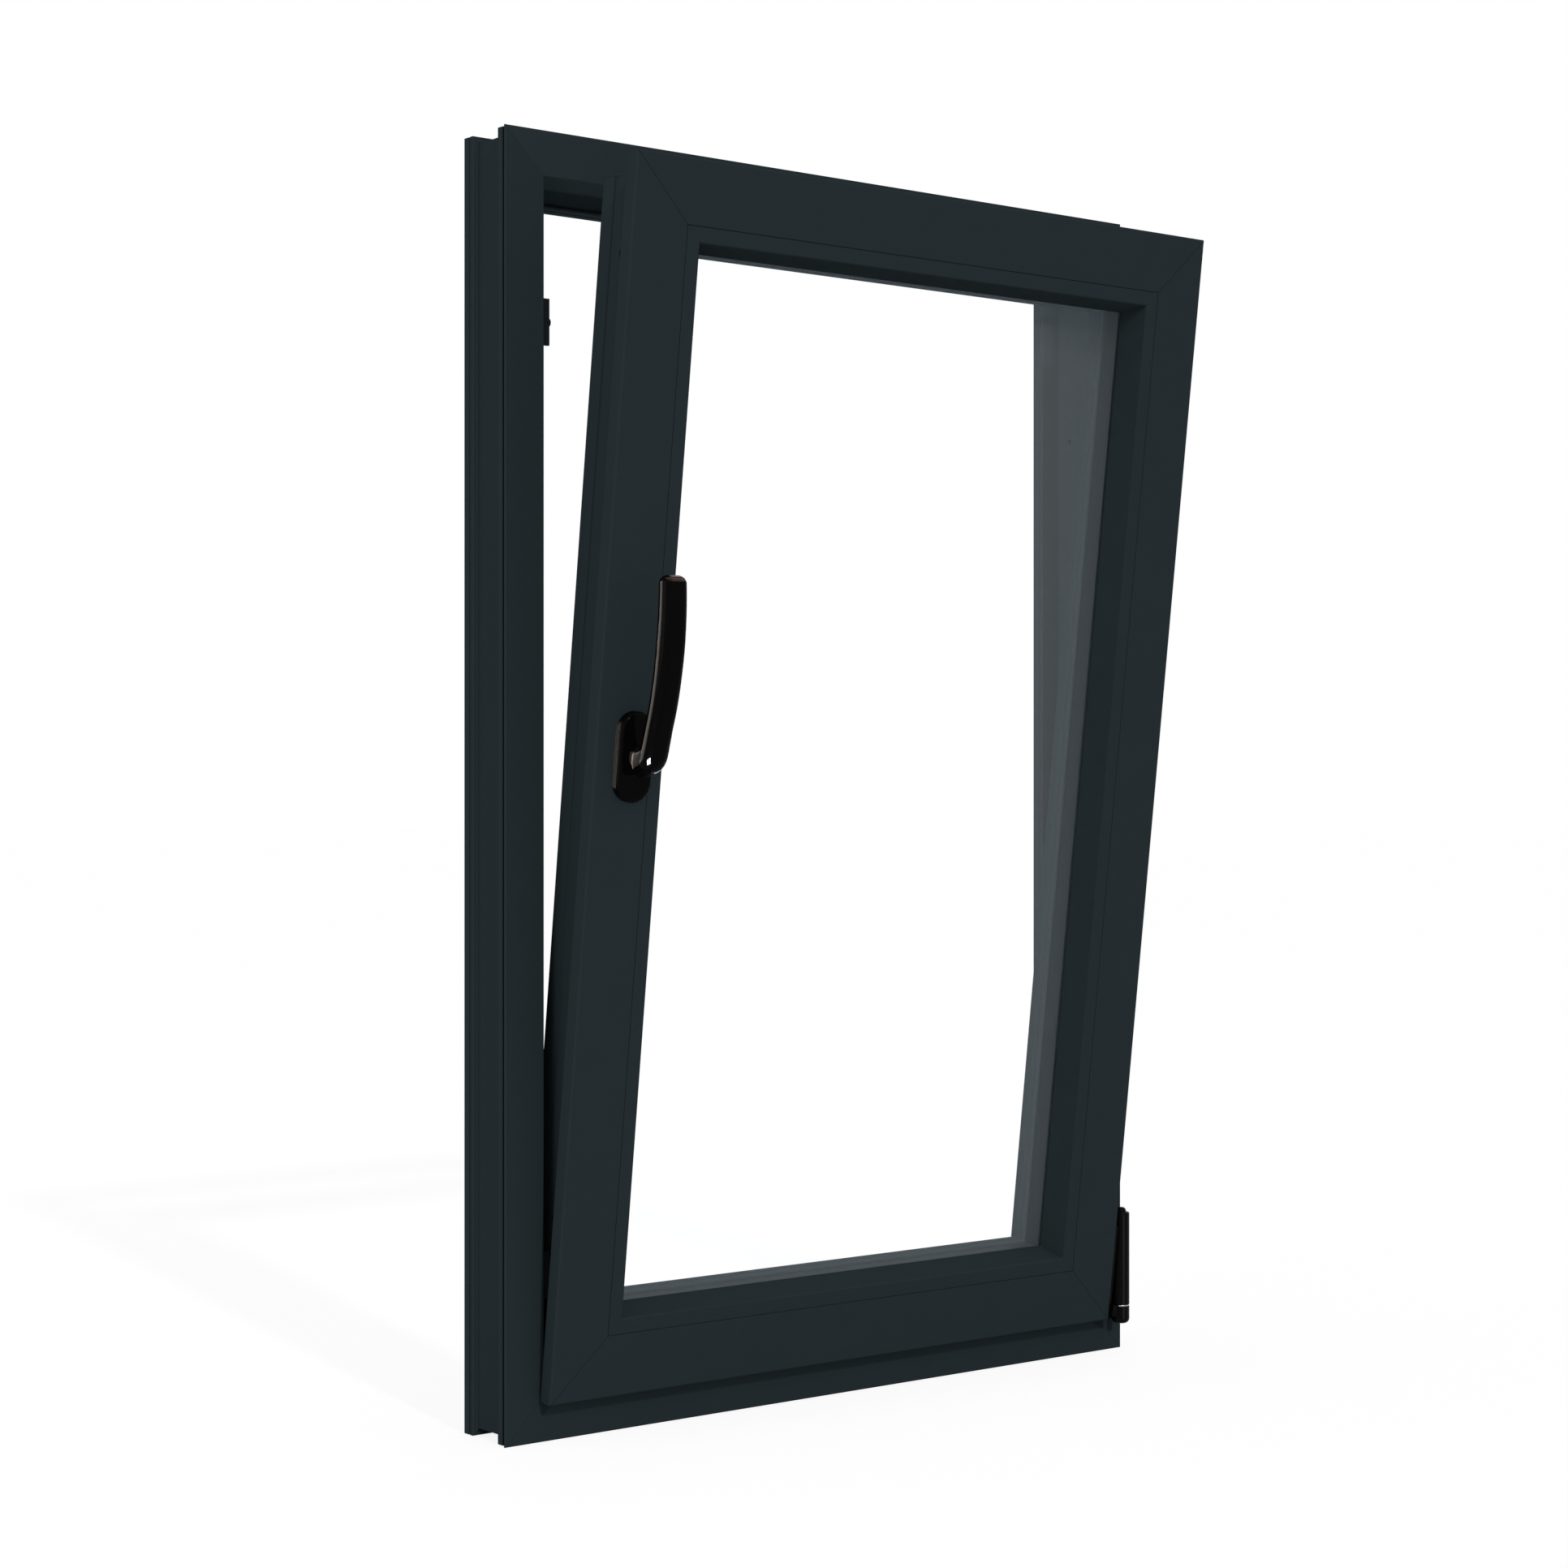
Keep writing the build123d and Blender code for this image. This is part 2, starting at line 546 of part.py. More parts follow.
# Where screws go: side, depth from the room face, place along the side
KEEPS = {
    "keep_upper": ("left", KEEP_UPPER_HEIGHT),
    "keep_lower": ("left", KEEP_LOWER_HEIGHT),
    "keep_head": ("top", KEEP_HEAD_FROM_LEFT),
    "keep_tilt": ("bottom", KEEP_TILT_FROM_LEFT),
}
KEEP_SCREWS = [(side, along + step * KEEP_SCREW_PITCH / 2)
               for side, along in KEEPS.values() for step in (-1, 1)]
PLATE_X = (HINGE_X - BRACKET_WIDTH / 2, HINGE_X - BRACKET_WIDTH / 2 + PLATE_WIDTH)
BEARING_SCREW_X = (HINGE_X + HINGE_RADIUS + PLATE_X[1]) / 2
CORNER_PLATE_Z = (CUP_LOW + PLATE_ABOVE_CUP, CUP_LOW + PLATE_ABOVE_CUP + PLATE_HEIGHT)
STAY_PLATE_Z = (STAY_LOW - PLAY - PLATE_HEIGHT, STAY_LOW - PLAY)
BEARING_SCREW_Z = [sum(span) / 2 + step * BEARING_SCREW_PITCH / 2
                   for span in (CORNER_PLATE_Z, STAY_PLATE_Z) for step in (-1, 1)]
LEAF_Y = (SASH_Y + FINE_EDGE, SASH_Y + FLANGE_THICKNESS - FINE_EDGE)
LEAF_Z = (TILT_Z - EAR_DROP, TILT_Z - EAR_DROP + LEAF_HEIGHT)
LEAF_SCREW_Y = LEAF_Y[1] - SCREW_HEAD_RADIUS - PLAY
LEAF_SCREW_Z = [sum(LEAF_Z) / 2 + step * LEAF_SCREW_PITCH for step in (-1, 0, 1)]


# Frame

def frame_members():
    """The four mitred frame lengths, drilled for fixings and screws, with the sill drained."""
    section = frame_section()
    members = {side: mitred_run(section, side, 0, 0, FRAME_LIP_REACH + PROFILE_WALL)
               for side in SIDES}
    for side, places in FIXINGS.items():
        for along in places:
            members[side] -= side_stud(side, (0, FRAME_FACE_WIDTH), FIXING_Y, along, FIXING_RADIUS)
    wall_u = (FRAME_FACE_WIDTH - 2 * PROFILE_WALL, FRAME_FACE_WIDTH)
    for side, along in KEEP_SCREWS:
        members[side] -= side_stud(side, wall_u, KEEP_SCREW_DEPTH, along, SCREW_RADIUS + SCREW_FIT)
    for z in BEARING_SCREW_Z:
        members["right"] -= spigot(BEARING_SCREW_X, z, (0, SCREW_LENGTH), SCREW_RADIUS + SCREW_FIT)
    for x in drain_places():
        half = DRAIN_SLOT_LENGTH / 2
        middle = (CHAMBER_U + DRAIN_U - PROFILE_WALL) / 2
        outer = block((x - half, x + half), (FRAME_DEPTH - PROFILE_WALL, FRAME_DEPTH),
                      (middle - DRAIN_SLOT_WIDTH / 2, middle + DRAIN_SLOT_WIDTH / 2))
        inner_y = (DRAIN_Y + LIP_Y) / 2
        inner = block((x - half, x + half),
                      (inner_y - DRAIN_SLOT_WIDTH / 2, inner_y + DRAIN_SLOT_WIDTH / 2),
                      (DRAIN_U - PROFILE_WALL, DRAIN_U))
        members["bottom"] = members["bottom"] - outer - inner
    for side, member in members.items():
        save("frame_" + RUN_NAMES[side], member)


def drain_places():
    """Where along the sill the drain slots are."""
    return (DRAIN_FROM_END, FRAME_WIDTH - DRAIN_FROM_END)


def frame_steels():
    """The tube in each frame length, drilled where the fixings pass."""
    section = tube(FRAME_STEEL_U, FRAME_STEEL_Y, STEEL_WALL, STEEL_CLEARANCE)
    for side in SIDES:
        bar = plain_run(section, side, 0, 0, FRAME_FACE_WIDTH + STEEL_END_GAP)
        for along in FIXINGS.get(side, ()):
            bar -= side_stud(side, (0, FRAME_FACE_WIDTH), FIXING_Y, along, FIXING_RADIUS)
        save("frame_steel_" + RUN_NAMES[side], bar)


def frame_seal():
    """The rubber on the outer lip that the back of the sash closes on."""
    end = FRAME_LIP_REACH - FRAME_SEAL_SETBACK
    section = rectangle((end - FRAME_SEAL_WIDTH, end),
                        (LIP_Y - REAR_SEAL_GAP + FRAME_SEAL_CLEARANCE, LIP_Y))
    reach = FRAME_LIP_REACH + PROFILE_WALL
    save("frame_seal", *[mitred_run(section, side, 0, 0, reach) for side in SIDES])


def drain_caps():
    """The hoods over the sill's outer drain slots, open at the bottom."""
    caps = []
    middle = (CHAMBER_U + DRAIN_U - PROFILE_WALL) / 2
    for x in drain_places():
        half, tall = DRAIN_CAP_LENGTH / 2, DRAIN_CAP_HEIGHT / 2
        hood = block((x - half, x + half), (FRAME_DEPTH, FRAME_DEPTH + DRAIN_CAP_DEPTH),
                     (middle - tall, middle + tall))
        hood = fillet(hood.edges().group_by(Axis.Y)[-1], MEDIUM_EDGE)
        hollow = block((x - half + DRAIN_CAP_WALL, x + half - DRAIN_CAP_WALL),
                       (FRAME_DEPTH, FRAME_DEPTH + DRAIN_CAP_DEPTH - DRAIN_CAP_WALL),
                       (middle - tall, middle + tall - DRAIN_CAP_WALL))
        caps.append(hood - hollow)
    save("drain_caps", *caps)


def keeps():
    """The keeps in the rebate: a base, the wall that a cam locks behind, and an adjusting boss."""
    for node, (side, along) in KEEPS.items():
        half = KEEP_LENGTH / 2
        base_u = (FRAME_FACE_WIDTH, FRAME_FACE_WIDTH + KEEP_BASE)
        wall_u = (FRAME_FACE_WIDTH, FRAME_FACE_WIDTH + KEEP_WALL_REACH)
        wall_y = (KEEP_FRONT, KEEP_FRONT + KEEP_WALL)
        span = (along - half, along + half)
        keep = side_block(side, base_u, (KEEP_FRONT, KEEP_BACK), span)
        keep += side_block(side, wall_u, wall_y, span)
        if node == "keep_tilt":
            gap = (along - KEEP_TILT_GAP / 2, along + KEEP_TILT_GAP / 2)
            keep -= side_block(side, (base_u[1], wall_u[1]), wall_y, gap)
        else:
            boss_u = (FRAME_FACE_WIDTH, FRAME_FACE_WIDTH + KEEP_BOSS_REACH)
            boss_y = KEEP_FRONT + KEEP_BOSS_RADIUS
            boss = side_stud(side, boss_u, boss_y, along, KEEP_BOSS_RADIUS)
            axis = Axis.Z if side == "top" else Axis.X
            rim = boss.edges().filter_by(GeomType.CIRCLE).sort_by(axis)
            keep += fillet(rim[0] if side == "top" else rim[-1], KEEP_BOSS_ROUND)
        for step in (-1, 1):
            keep -= side_stud(side, base_u, KEEP_SCREW_DEPTH, along + step * KEEP_SCREW_PITCH / 2,
                              SCREW_RADIUS + SCREW_FIT)
        save(node, keep)


def frame_screws():
    """The screws of the keeps and of the two bearings."""
    screws = []
    seat = FRAME_FACE_WIDTH + KEEP_BASE
    for side, along in KEEP_SCREWS:
        place = side_seat(side, seat, KEEP_SCREW_DEPTH, along)
        screws.append(screw(place, SCREW_LENGTH, SCREW_RADIUS, SCREW_HEAD_RADIUS, SCREW_HEAD))
    for z in BEARING_SCREW_Z:
        place = room_seat(BEARING_SCREW_X, -PLATE_THICKNESS, z)
        screws.append(screw(place, SCREW_LENGTH, SCREW_RADIUS, SCREW_HEAD_RADIUS, SCREW_HEAD))
    save("frame_screws", *screws)


def bearing(cup_span, plate_span, screw_z):
    """A bearing on the frame's face: a round cup on the hinge axis, its bracket and its plate."""
    low, high = cup_span
    cup = post(HINGE_X, HINGE_Y, cup_span, HINGE_RADIUS)
    cup = fillet(cup.edges().filter_by(GeomType.CIRCLE).sort_by(Axis.Z)[0], CUP_ROUND)
    half = BRACKET_WIDTH / 2
    bracket = block((HINGE_X - half, HINGE_X + half), (HINGE_Y, 0), (low + CUP_ROUND, high))
    plate = block(PLATE_X, (-PLATE_THICKNESS, 0), plate_span)
    body = cup + bracket + plate
    for z in screw_z:
        body -= spigot(BEARING_SCREW_X, z, (-PLATE_THICKNESS, 0), SCREW_RADIUS + SCREW_FIT)
    return body


def corner_bearing():
    """The lower bearing: the knuckle's pivot stands in its cup."""
    body = bearing((CUP_LOW, CUP_TOP), CORNER_PLATE_Z, BEARING_SCREW_Z[:2])
    bore = (CUP_TOP - PIVOT_LENGTH - PLAY, CUP_TOP)
    save("corner_bearing", body - post(HINGE_X, HINGE_Y, bore, PIVOT_RADIUS))


def stay_bearing():
    """The upper bearing, its pin through the stay's eye, and the cap on the pin."""
    cup_top = STAY_LOW - PLAY
    pin_span = (cup_top - STAY_CUP_HEIGHT / 2, STAY_TOP + PLAY + STAY_CAP_HEIGHT / 2)
    body = bearing((cup_top - STAY_CUP_HEIGHT, cup_top), STAY_PLATE_Z, BEARING_SCREW_Z[2:])
    socket = post(HINGE_X, HINGE_Y, (pin_span[0], cup_top), STAY_PIN_RADIUS)
    save("stay_bearing", body - socket)
    pin = post(HINGE_X, HINGE_Y, pin_span, STAY_PIN_RADIUS)
    save("stay_pin", pin)
    cap_low = STAY_TOP + PLAY
    cap = post(HINGE_X, HINGE_Y, (cap_low, cap_low + STAY_CAP_HEIGHT), HINGE_RADIUS)
    cap = fillet(cap.edges().filter_by(GeomType.CIRCLE).sort_by(Axis.Z)[-1], CUP_ROUND)
    cap -= post(HINGE_X, HINGE_Y, (cap_low, pin_span[1]), STAY_PIN_RADIUS)
    save("stay_cap", cap)


# Pivot and stay

def pivot_knuckle():
    """Turns in the corner bearing, carries the sash on its trunnion, and wears the barrel cover."""
    pivot = post(HINGE_X, HINGE_Y, (CUP_TOP - PIVOT_LENGTH, RING_LOW), PIVOT_RADIUS - RUNNING)
    ring = post(HINGE_X, HINGE_Y, (RING_LOW, RING_LOW + RING_HEIGHT), RING_RADIUS)
    ear_x = (SASH_RIGHT + LEAF_THICKNESS + PLAY, SASH_RIGHT + LEAF_THICKNESS + PLAY + EAR_THICKNESS)
    ear_y = (HINGE_Y - EAR_HALF_WIDTH, HINGE_Y + EAR_HALF_WIDTH)
    ear = block(ear_x, ear_y, (TILT_Z - EAR_DROP, RING_LOW + RING_HEIGHT))
    bridge = block((ear_x[0], HINGE_X), ear_y, (RING_LOW, RING_LOW + RING_HEIGHT))
    middle = (SASH_RIGHT + ear_x[1]) / 2
    trunnion = (Pos(middle, HINGE_Y, TILT_Z) * Rot(0, 90, 0)
                * Cylinder(TRUNNION_RADIUS, ear_x[1] - SASH_RIGHT))
    core_top = BARREL_TOP - BARREL_CAP_HEIGHT
    core = post(HINGE_X, HINGE_Y, (BARREL_LOW, core_top), HINGE_CORE_RADIUS)
    save("pivot_knuckle", pivot + ring + ear + bridge + trunnion + core)
    cover = post(HINGE_X, HINGE_Y, (BARREL_LOW, BARREL_TOP), HINGE_RADIUS)
    cover = fillet(cover.edges().filter_by(GeomType.CIRCLE).sort_by(Axis.Z)[-1], BARREL_ROUND)
    cap = post(HINGE_X, HINGE_Y, (BARREL_TOP, BARREL_TOP + BARREL_CAP_HEIGHT), BARREL_CAP_RADIUS)
    cover += fillet(cap.edges().filter_by(GeomType.CIRCLE).sort_by(Axis.Z)[-1], BARREL_CAP_ROUND)
    cover -= post(HINGE_X, HINGE_Y, (BARREL_LOW, core_top), HINGE_CORE_RADIUS + RUNNING)
    save("hinge_cover", cover)


def stay_arm():
    """The arm that stops the tilt: an eye on the upper pin, a crank past the flange, a slide pin."""
    z_span = (STAY_LOW, STAY_TOP)
    corridor = (SASH_Y + FLANGE_THICKNESS) / 2
    corner_x = SASH_RIGHT + STAY_PLATE
    inner_x = FRAME_WIDTH - FRAME_FACE_WIDTH - STAY_CRANK_IN
    half = STAY_PLATE / 2
    eye = post(HINGE_X, HINGE_Y, z_span, EYE_RADIUS)
    start = outline((
        (HINGE_X, HINGE_Y), (HINGE_X - half, HINGE_Y - half), (corner_x - half, corridor - half),
        (inner_x, corridor - half), (inner_x - STAY_CRANK_LENGTH, GROOVE_Y - STAY_BAR_WIDTH / 2),
        (SLIDE_X, GROOVE_Y - STAY_BAR_WIDTH / 2), (SLIDE_X, GROOVE_Y + STAY_BAR_WIDTH / 2),
        (inner_x - STAY_CRANK_LENGTH, GROOVE_Y + STAY_BAR_WIDTH / 2), (inner_x, corridor + half),
        (corner_x + half, corridor + half), (HINGE_X + half, HINGE_Y + half),
    ))
    strip = extrude(Pos(0, 0, STAY_LOW) * start, amount=STAY_HEIGHT, dir=(0, 0, 1))
    end = post(SLIDE_X, GROOVE_Y, z_span, STAY_BAR_WIDTH / 2)
    slide_pin = post(SLIDE_X, GROOVE_Y, (BODY_TOP - SLIDE_PIN_DEPTH, STAY_LOW), SLIDE_PIN_RADIUS)
    arm = eye + strip + end + slide_pin
    arm -= post(HINGE_X, HINGE_Y, z_span, STAY_PIN_RADIUS + RUNNING)
    arm = arm.rotate(Axis((HINGE_X, HINGE_Y, 0), (0, 0, 1)), STAY_SWING)
    save("stay_arm", arm)


# Sash

def groove_span(half):
    """A span of the given half width about the hardware groove's middle."""
    return (GROOVE_Y - half, GROOVE_Y + half)


def gearbox_spans():
    """The gearbox's box: across the stile, through its depth, and up the stile."""
    x0 = BODY_U + FACEPLATE + 2 * PLAY + ROD_THICKNESS
    z0 = HANDLE_HEIGHT - GEARBOX_LENGTH / 2
    return (x0, x0 + GEARBOX_WIDTH), groove_span(GROOVE_WIDTH / 2 - PLAY), (z0, z0 + GEARBOX_LENGTH)


def sash_members():
    """The four mitred sash lengths, cut for the gearbox, the handle, the guide and the leaf."""
    section = sash_section()
    reach = SIGHT_V + PROFILE_WALL
    members = {side: mitred_run(section, side, SASH_INSET, SASH_Y, reach) for side in SIDES}
    z_span = gearbox_spans()[2]
    pocket = block((BODY_U + GROOVE_DEPTH, SASH_INSET + HARDWARE_V[0]),
                   groove_span(GROOVE_WIDTH / 2), (z_span[0] - PLAY, z_span[1] + PLAY))
    members["left"] -= pocket
    front = (SASH_Y, SASH_Y + FLANGE_THICKNESS)
    members["left"] -= spigot(HANDLE_X, HANDLE_HEIGHT, front, SPINDLE_HOLE_RADIUS)
    for z in handle_screw_heights():
        members["left"] -= spigot(HANDLE_X, z, front, HANDLE_SCREW_RADIUS + PLAY)
    members["top"] -= side_block("top", (BODY_U + GROOVE_DEPTH, BODY_U + GUIDE_DEPTH + FACEPLATE_FIT),
                                 groove_span(GROOVE_WIDTH / 2), GUIDE_X)
    for z in LEAF_SCREW_Z:
        members["right"] -= side_stud("right", (SASH_INSET, SASH_INSET + SCREW_LENGTH),
                                      LEAF_SCREW_Y, z, SCREW_RADIUS + SCREW_FIT)
    for side, member in members.items():
        save("sash_" + RAIL_NAMES[side], leaned(member))


def sash_steels():
    """The tube in each sash length."""
    section = tube(SASH_STEEL_V, SASH_STEEL_T, STEEL_WALL, STEEL_CLEARANCE)
    for side in SIDES:
        bar = plain_run(section, side, SASH_INSET, SASH_Y, SEAT_V + STEEL_END_GAP)
        save("sash_steel_" + RAIL_NAMES[side], leaned(bar))


def beads():
    """The four mitred glazing beads."""
    section = bead_section()
    for side in SIDES:
        bead = mitred_run(section, side, SASH_INSET, SASH_Y, SIGHT_V + PROFILE_WALL)
        save("bead_" + side, leaned(bead))


def glass_ring(v_span, t_span):
    """A rectangular ring that follows the glass edge."""
    rings = []
    for v in v_span:
        inset = SASH_INSET + v
        rings.append(block((inset, FRAME_WIDTH - inset), [SASH_Y + t for t in t_span],
                           (inset, FRAME_HEIGHT - inset)))
    return rings[0] - rings[1]


def glass_unit():
    """The double-glazed unit: two panes, the spacer bar and the sealant round its edge."""
    inset = SASH_INSET + GLASS_V
    outer_t = GLASS_T + PANE + GLASS_CAVITY
    for node, t in (("pane_inner", GLASS_T), ("pane_outer", outer_t)):
        pane = block((inset, FRAME_WIDTH - inset), (SASH_Y + t, SASH_Y + t + PANE),
                     (inset, FRAME_HEIGHT - inset))
        save(node, leaned(pane))
    cavity = (GLASS_T + PANE, outer_t)
    sealant_end = GLASS_V + SEALANT_WIDTH
    save("edge_sealant", leaned(glass_ring((GLASS_V, sealant_end), cavity)))
    save("spacer_bar", leaned(glass_ring((sealant_end, sealant_end + SPACER_WIDTH), cavity)))


def sash_seals():
    """The seals on each side of the glass, and the one under the flange."""
    end = SIGHT_V - GLAZING_SEAL_SETBACK
    v_span = (end - GLAZING_SEAL_WIDTH, end)
    reach = SIGHT_V + PROFILE_WALL
    glass_back = GLASS_T + GLASS_THICKNESS
    for node, t_span in (("glazing_seal_inner", (BEAD_DEPTH, GLASS_T)),
                         ("glazing_seal_outer", (glass_back, SASH_LIP_T))):
        section = rectangle(v_span, t_span)
        runs = [mitred_run(section, side, SASH_INSET, SASH_Y, reach) for side in SIDES]
        save(node, *[leaned(run) for run in runs])
    section = rectangle((FLANGE_SEAL_SETBACK, FLANGE_SEAL_SETBACK + SEAL_WIDTH),
                        (FLANGE_THICKNESS, FLANGE_THICKNESS + SEAL_GAP - FLANGE_SEAL_CLEARANCE))
    runs = {side: mitred_run(section, side, SASH_INSET, SASH_Y, reach) for side in SIDES}
    notch = block((FRAME_WIDTH - BODY_U, SASH_RIGHT), (SASH_Y, 0),
                  (STAY_LOW - PLAY, STAY_TOP + PLAY))
    runs["right"] -= notch
    save("flange_seal", *[leaned(run) for run in runs.values()])


def setting_blocks():
    """The blocks that carry the glass: two below, one high at the handle, one low at the hinge."""
    v_span = [SASH_INSET + v for v in (SEAT_V, GLASS_V)]
    t_span = [SASH_Y + t for t in (GLASS_T, GLASS_T + GLASS_THICKNESS)]
    start = SASH_INSET + BLOCK_FROM_CORNER
    near = (start, start + BLOCK_LENGTH)
    places = (("bottom", near), ("bottom", [FRAME_WIDTH - x for x in near]),
              ("left", [FRAME_HEIGHT - z for z in near]), ("right", near))
    save("setting_blocks", *[leaned(side_block(side, v_span, t_span, along))
                             for side, along in places])


def handle_screw_heights():
    """The heights of the two handle screws."""
    return [HANDLE_HEIGHT + step * HANDLE_SCREW_PITCH / 2 for step in (-1, 1)]


def gearbox():
    """The gear case in the handle stile, bored for the hub and the handle screws."""
    spans = gearbox_spans()
    body = block(*spans)
    body -= spigot(HANDLE_X, HANDLE_HEIGHT, spans[1], HUB_RADIUS + HUB_CLEARANCE)
    for z in handle_screw_heights():
        body -= spigot(HANDLE_X, z, spans[1], HANDLE_SCREW_RADIUS + SCREW_FIT)
    save("gearbox", leaned(body))


def cam_places():
    """Each rod's side, which way it moves from locked to tilt, and its keeps' places."""
    return {
        "side": ("left", 1, (KEEP_UPPER_HEIGHT, KEEP_LOWER_HEIGHT)),
        "top": ("top", 1, (KEEP_HEAD_FROM_LEFT,)),
        "bottom": ("bottom", -1, (KEEP_TILT_FROM_LEFT + CAM_LOCK_OFFSET + ROD_TRAVEL / 2,)),
    }


def faceplate_ends():
    """Where each faceplate starts and ends along its side."""
    start = BODY_U + CORNER_LEG
    return {"side": (start, FRAME_HEIGHT - start), "top": (start, GUIDE_X[0]),
            "bottom": (start, GUIDE_X[0])}


def faceplates_and_rods():
    """The faceplates in the hardware groove and the rods that slide under them, with their cams."""
    plate_u = (BODY_U, BODY_U + FACEPLATE)
    rod_u = (plate_u[1] + PLAY, plate_u[1] + PLAY + ROD_THICKNESS)
    for name, (side, way, keep_places) in cam_places().items():
        ends = faceplate_ends()[name]
        plate = side_block(side, plate_u, groove_span(GROOVE_WIDTH / 2 - FACEPLATE_FIT), ends)
        tilt_cams = [along + way * (CAM_LOCK_OFFSET + ROD_TRAVEL) for along in keep_places]
        rod_start = BODY_U + CORNER_LEG - ROD_UNDER_CORNER + (ROD_TRAVEL if way > 0 else 0)
        rod_span = (rod_start, max(tilt_cams) + ROD_TAIL)
        rod = side_block(side, rod_u, groove_span(ROD_WIDTH / 2), rod_span)
        for along in tilt_cams:
            slot_ends = sorted((along, along - way * ROD_TRAVEL))
            grow = CAM_NECK_RADIUS + SLOT_CLEARANCE
            plate -= side_block(side, plate_u, groove_span(grow),
                                (slot_ends[0] - grow, slot_ends[1] + grow))
            neck_u = (plate_u[0] - SLOT_CLEARANCE, rod_u[0])
            head_u = (plate_u[0] - CAM_REACH, plate_u[0] - SLOT_CLEARANCE)
            rod += side_stud(side, neck_u, GROOVE_Y, along, CAM_NECK_RADIUS)
            rod += side_stud(side, head_u, GROOVE_Y, along, CAM_RADIUS)
        save("faceplate_" + name, leaned(plate))
        save("drive_rod_" + name, leaned(rod))


def corner_drives():
    """The bent plates that carry the drive round the two handle-side corners."""
    plate_u = (BODY_U, BODY_U + FACEPLATE)
    y_span = groove_span(GROOVE_WIDTH / 2 - FACEPLATE_FIT)
    leg = (BODY_U, BODY_U + CORNER_LEG)
    high_leg = (FRAME_HEIGHT - leg[1], FRAME_HEIGHT - leg[0])
    for node, side, upright in (("corner_drive_bottom", "bottom", leg),
                                ("corner_drive_top", "top", high_leg)):
        plate = side_block("left", plate_u, y_span, upright) + side_block(side, plate_u, y_span, leg)
        save(node, leaned(plate))


def stay_guide():
    """The channel let into the top rail that the stay's pin slides in."""
    half = GROOVE_WIDTH / 2 - FACEPLATE_FIT
    body = side_block("top", (BODY_U, BODY_U + GUIDE_DEPTH), groove_span(half), GUIDE_X)
    body -= side_block("top", (BODY_U, BODY_U + GUIDE_DEPTH - GUIDE_FLOOR),
                       groove_span(half - GUIDE_WALL), (GUIDE_X[0] + GUIDE_WALL, GUIDE_X[1] - GUIDE_WALL))
    save("stay_guide", leaned(body))


def hinge_leaf():
    """The sash's half of the corner hinge, bored for the trunnion, and its screws."""
    leaf_x = (SASH_RIGHT, SASH_RIGHT + LEAF_THICKNESS)
    leaf = block(leaf_x, LEAF_Y, LEAF_Z)
    lug_y = (HINGE_Y - EAR_HALF_WIDTH, HINGE_Y + EAR_HALF_WIDTH)
    leaf += block(leaf_x, lug_y, (LEAF_Z[0], TILT_Z + EAR_DROP))
    bore = (Pos((leaf_x[0] + leaf_x[1]) / 2, HINGE_Y, TILT_Z) * Rot(0, 90, 0)
            * Cylinder(TRUNNION_RADIUS + RUNNING, LEAF_THICKNESS))
    body = leaf - bore
    seat_u = FRAME_WIDTH - leaf_x[1]
    screws = []
    for z in LEAF_SCREW_Z:
        body -= side_stud("right", (seat_u, SASH_INSET), LEAF_SCREW_Y, z, SCREW_RADIUS + SCREW_FIT)
        place = Pos(leaf_x[1], LEAF_SCREW_Y, z) * Rot(0, 90, 0)
        screws.append(leaned(screw(place, SCREW_LENGTH, SCREW_RADIUS, SCREW_HEAD_RADIUS,
                                   SCREW_HEAD)))
    save("hinge_leaf", leaned(body))
    save("hinge_leaf_screws", *screws)


# Handle

def rose():
    """The rose: a base plate, the cover over it, and the two screws into the gearbox."""
    margin = ROSE_WALL + ROSE_BASE_MARGIN
    base = stadium(ROSE_LENGTH - 2 * margin, ROSE_WIDTH - 2 * margin, (SASH_Y - ROSE_BASE, SASH_Y),
                   HANDLE_X, HANDLE_HEIGHT)
    base_y = (SASH_Y - ROSE_BASE, SASH_Y)
    base -= spigot(HANDLE_X, HANDLE_HEIGHT, base_y, SPINDLE_HOLE_RADIUS)
    screws = []
    gear_back = gearbox_spans()[1][1]
    for z in handle_screw_heights():
        base -= spigot(HANDLE_X, z, base_y, HANDLE_SCREW_RADIUS + SCREW_FIT)
        screws.append(leaned(screw(room_seat(HANDLE_X, base_y[0], z), gear_back - base_y[0],
                                   HANDLE_SCREW_RADIUS, HANDLE_SCREW_HEAD_RADIUS,
                                   HANDLE_SCREW_HEAD)))
    cover = stadium(ROSE_LENGTH, ROSE_WIDTH, (SASH_Y - ROSE_DEPTH, SASH_Y), HANDLE_X, HANDLE_HEIGHT)
    cover = fillet(cover.edges().group_by(Axis.Y)[0], ROSE_ROUND)
    cover -= stadium(ROSE_LENGTH - 2 * ROSE_WALL, ROSE_WIDTH - 2 * ROSE_WALL,
                     (SASH_Y - ROSE_DEPTH + ROSE_WALL, SASH_Y), HANDLE_X, HANDLE_HEIGHT)
    cover -= spigot(HANDLE_X, HANDLE_HEIGHT, (SASH_Y - ROSE_DEPTH, SASH_Y), NECK_RADIUS + RUNNING)
    save("rose_base", leaned(base))
    save("handle_screws", *screws)
    save("rose_cover", leaned(cover))


def lever_section(out, up, lean, width, thickness, swell):
    """One cross-section of the lever, square to its line; lean is 0 out of the rose, 90 upward."""
    tangent = (0, -cos(radians(lean)), sin(radians(lean)))
    middle = (HANDLE_X, SASH_Y - out - swell * sin(radians(lean)),
              HANDLE_HEIGHT + up - swell * cos(radians(lean)))
    plane = Plane(origin=middle, x_dir=(1, 0, 0), z_dir=tangent)
    return plane * RectangleRounded(width, thickness, LEVER_ROUND_SHARE * min(width, thickness))


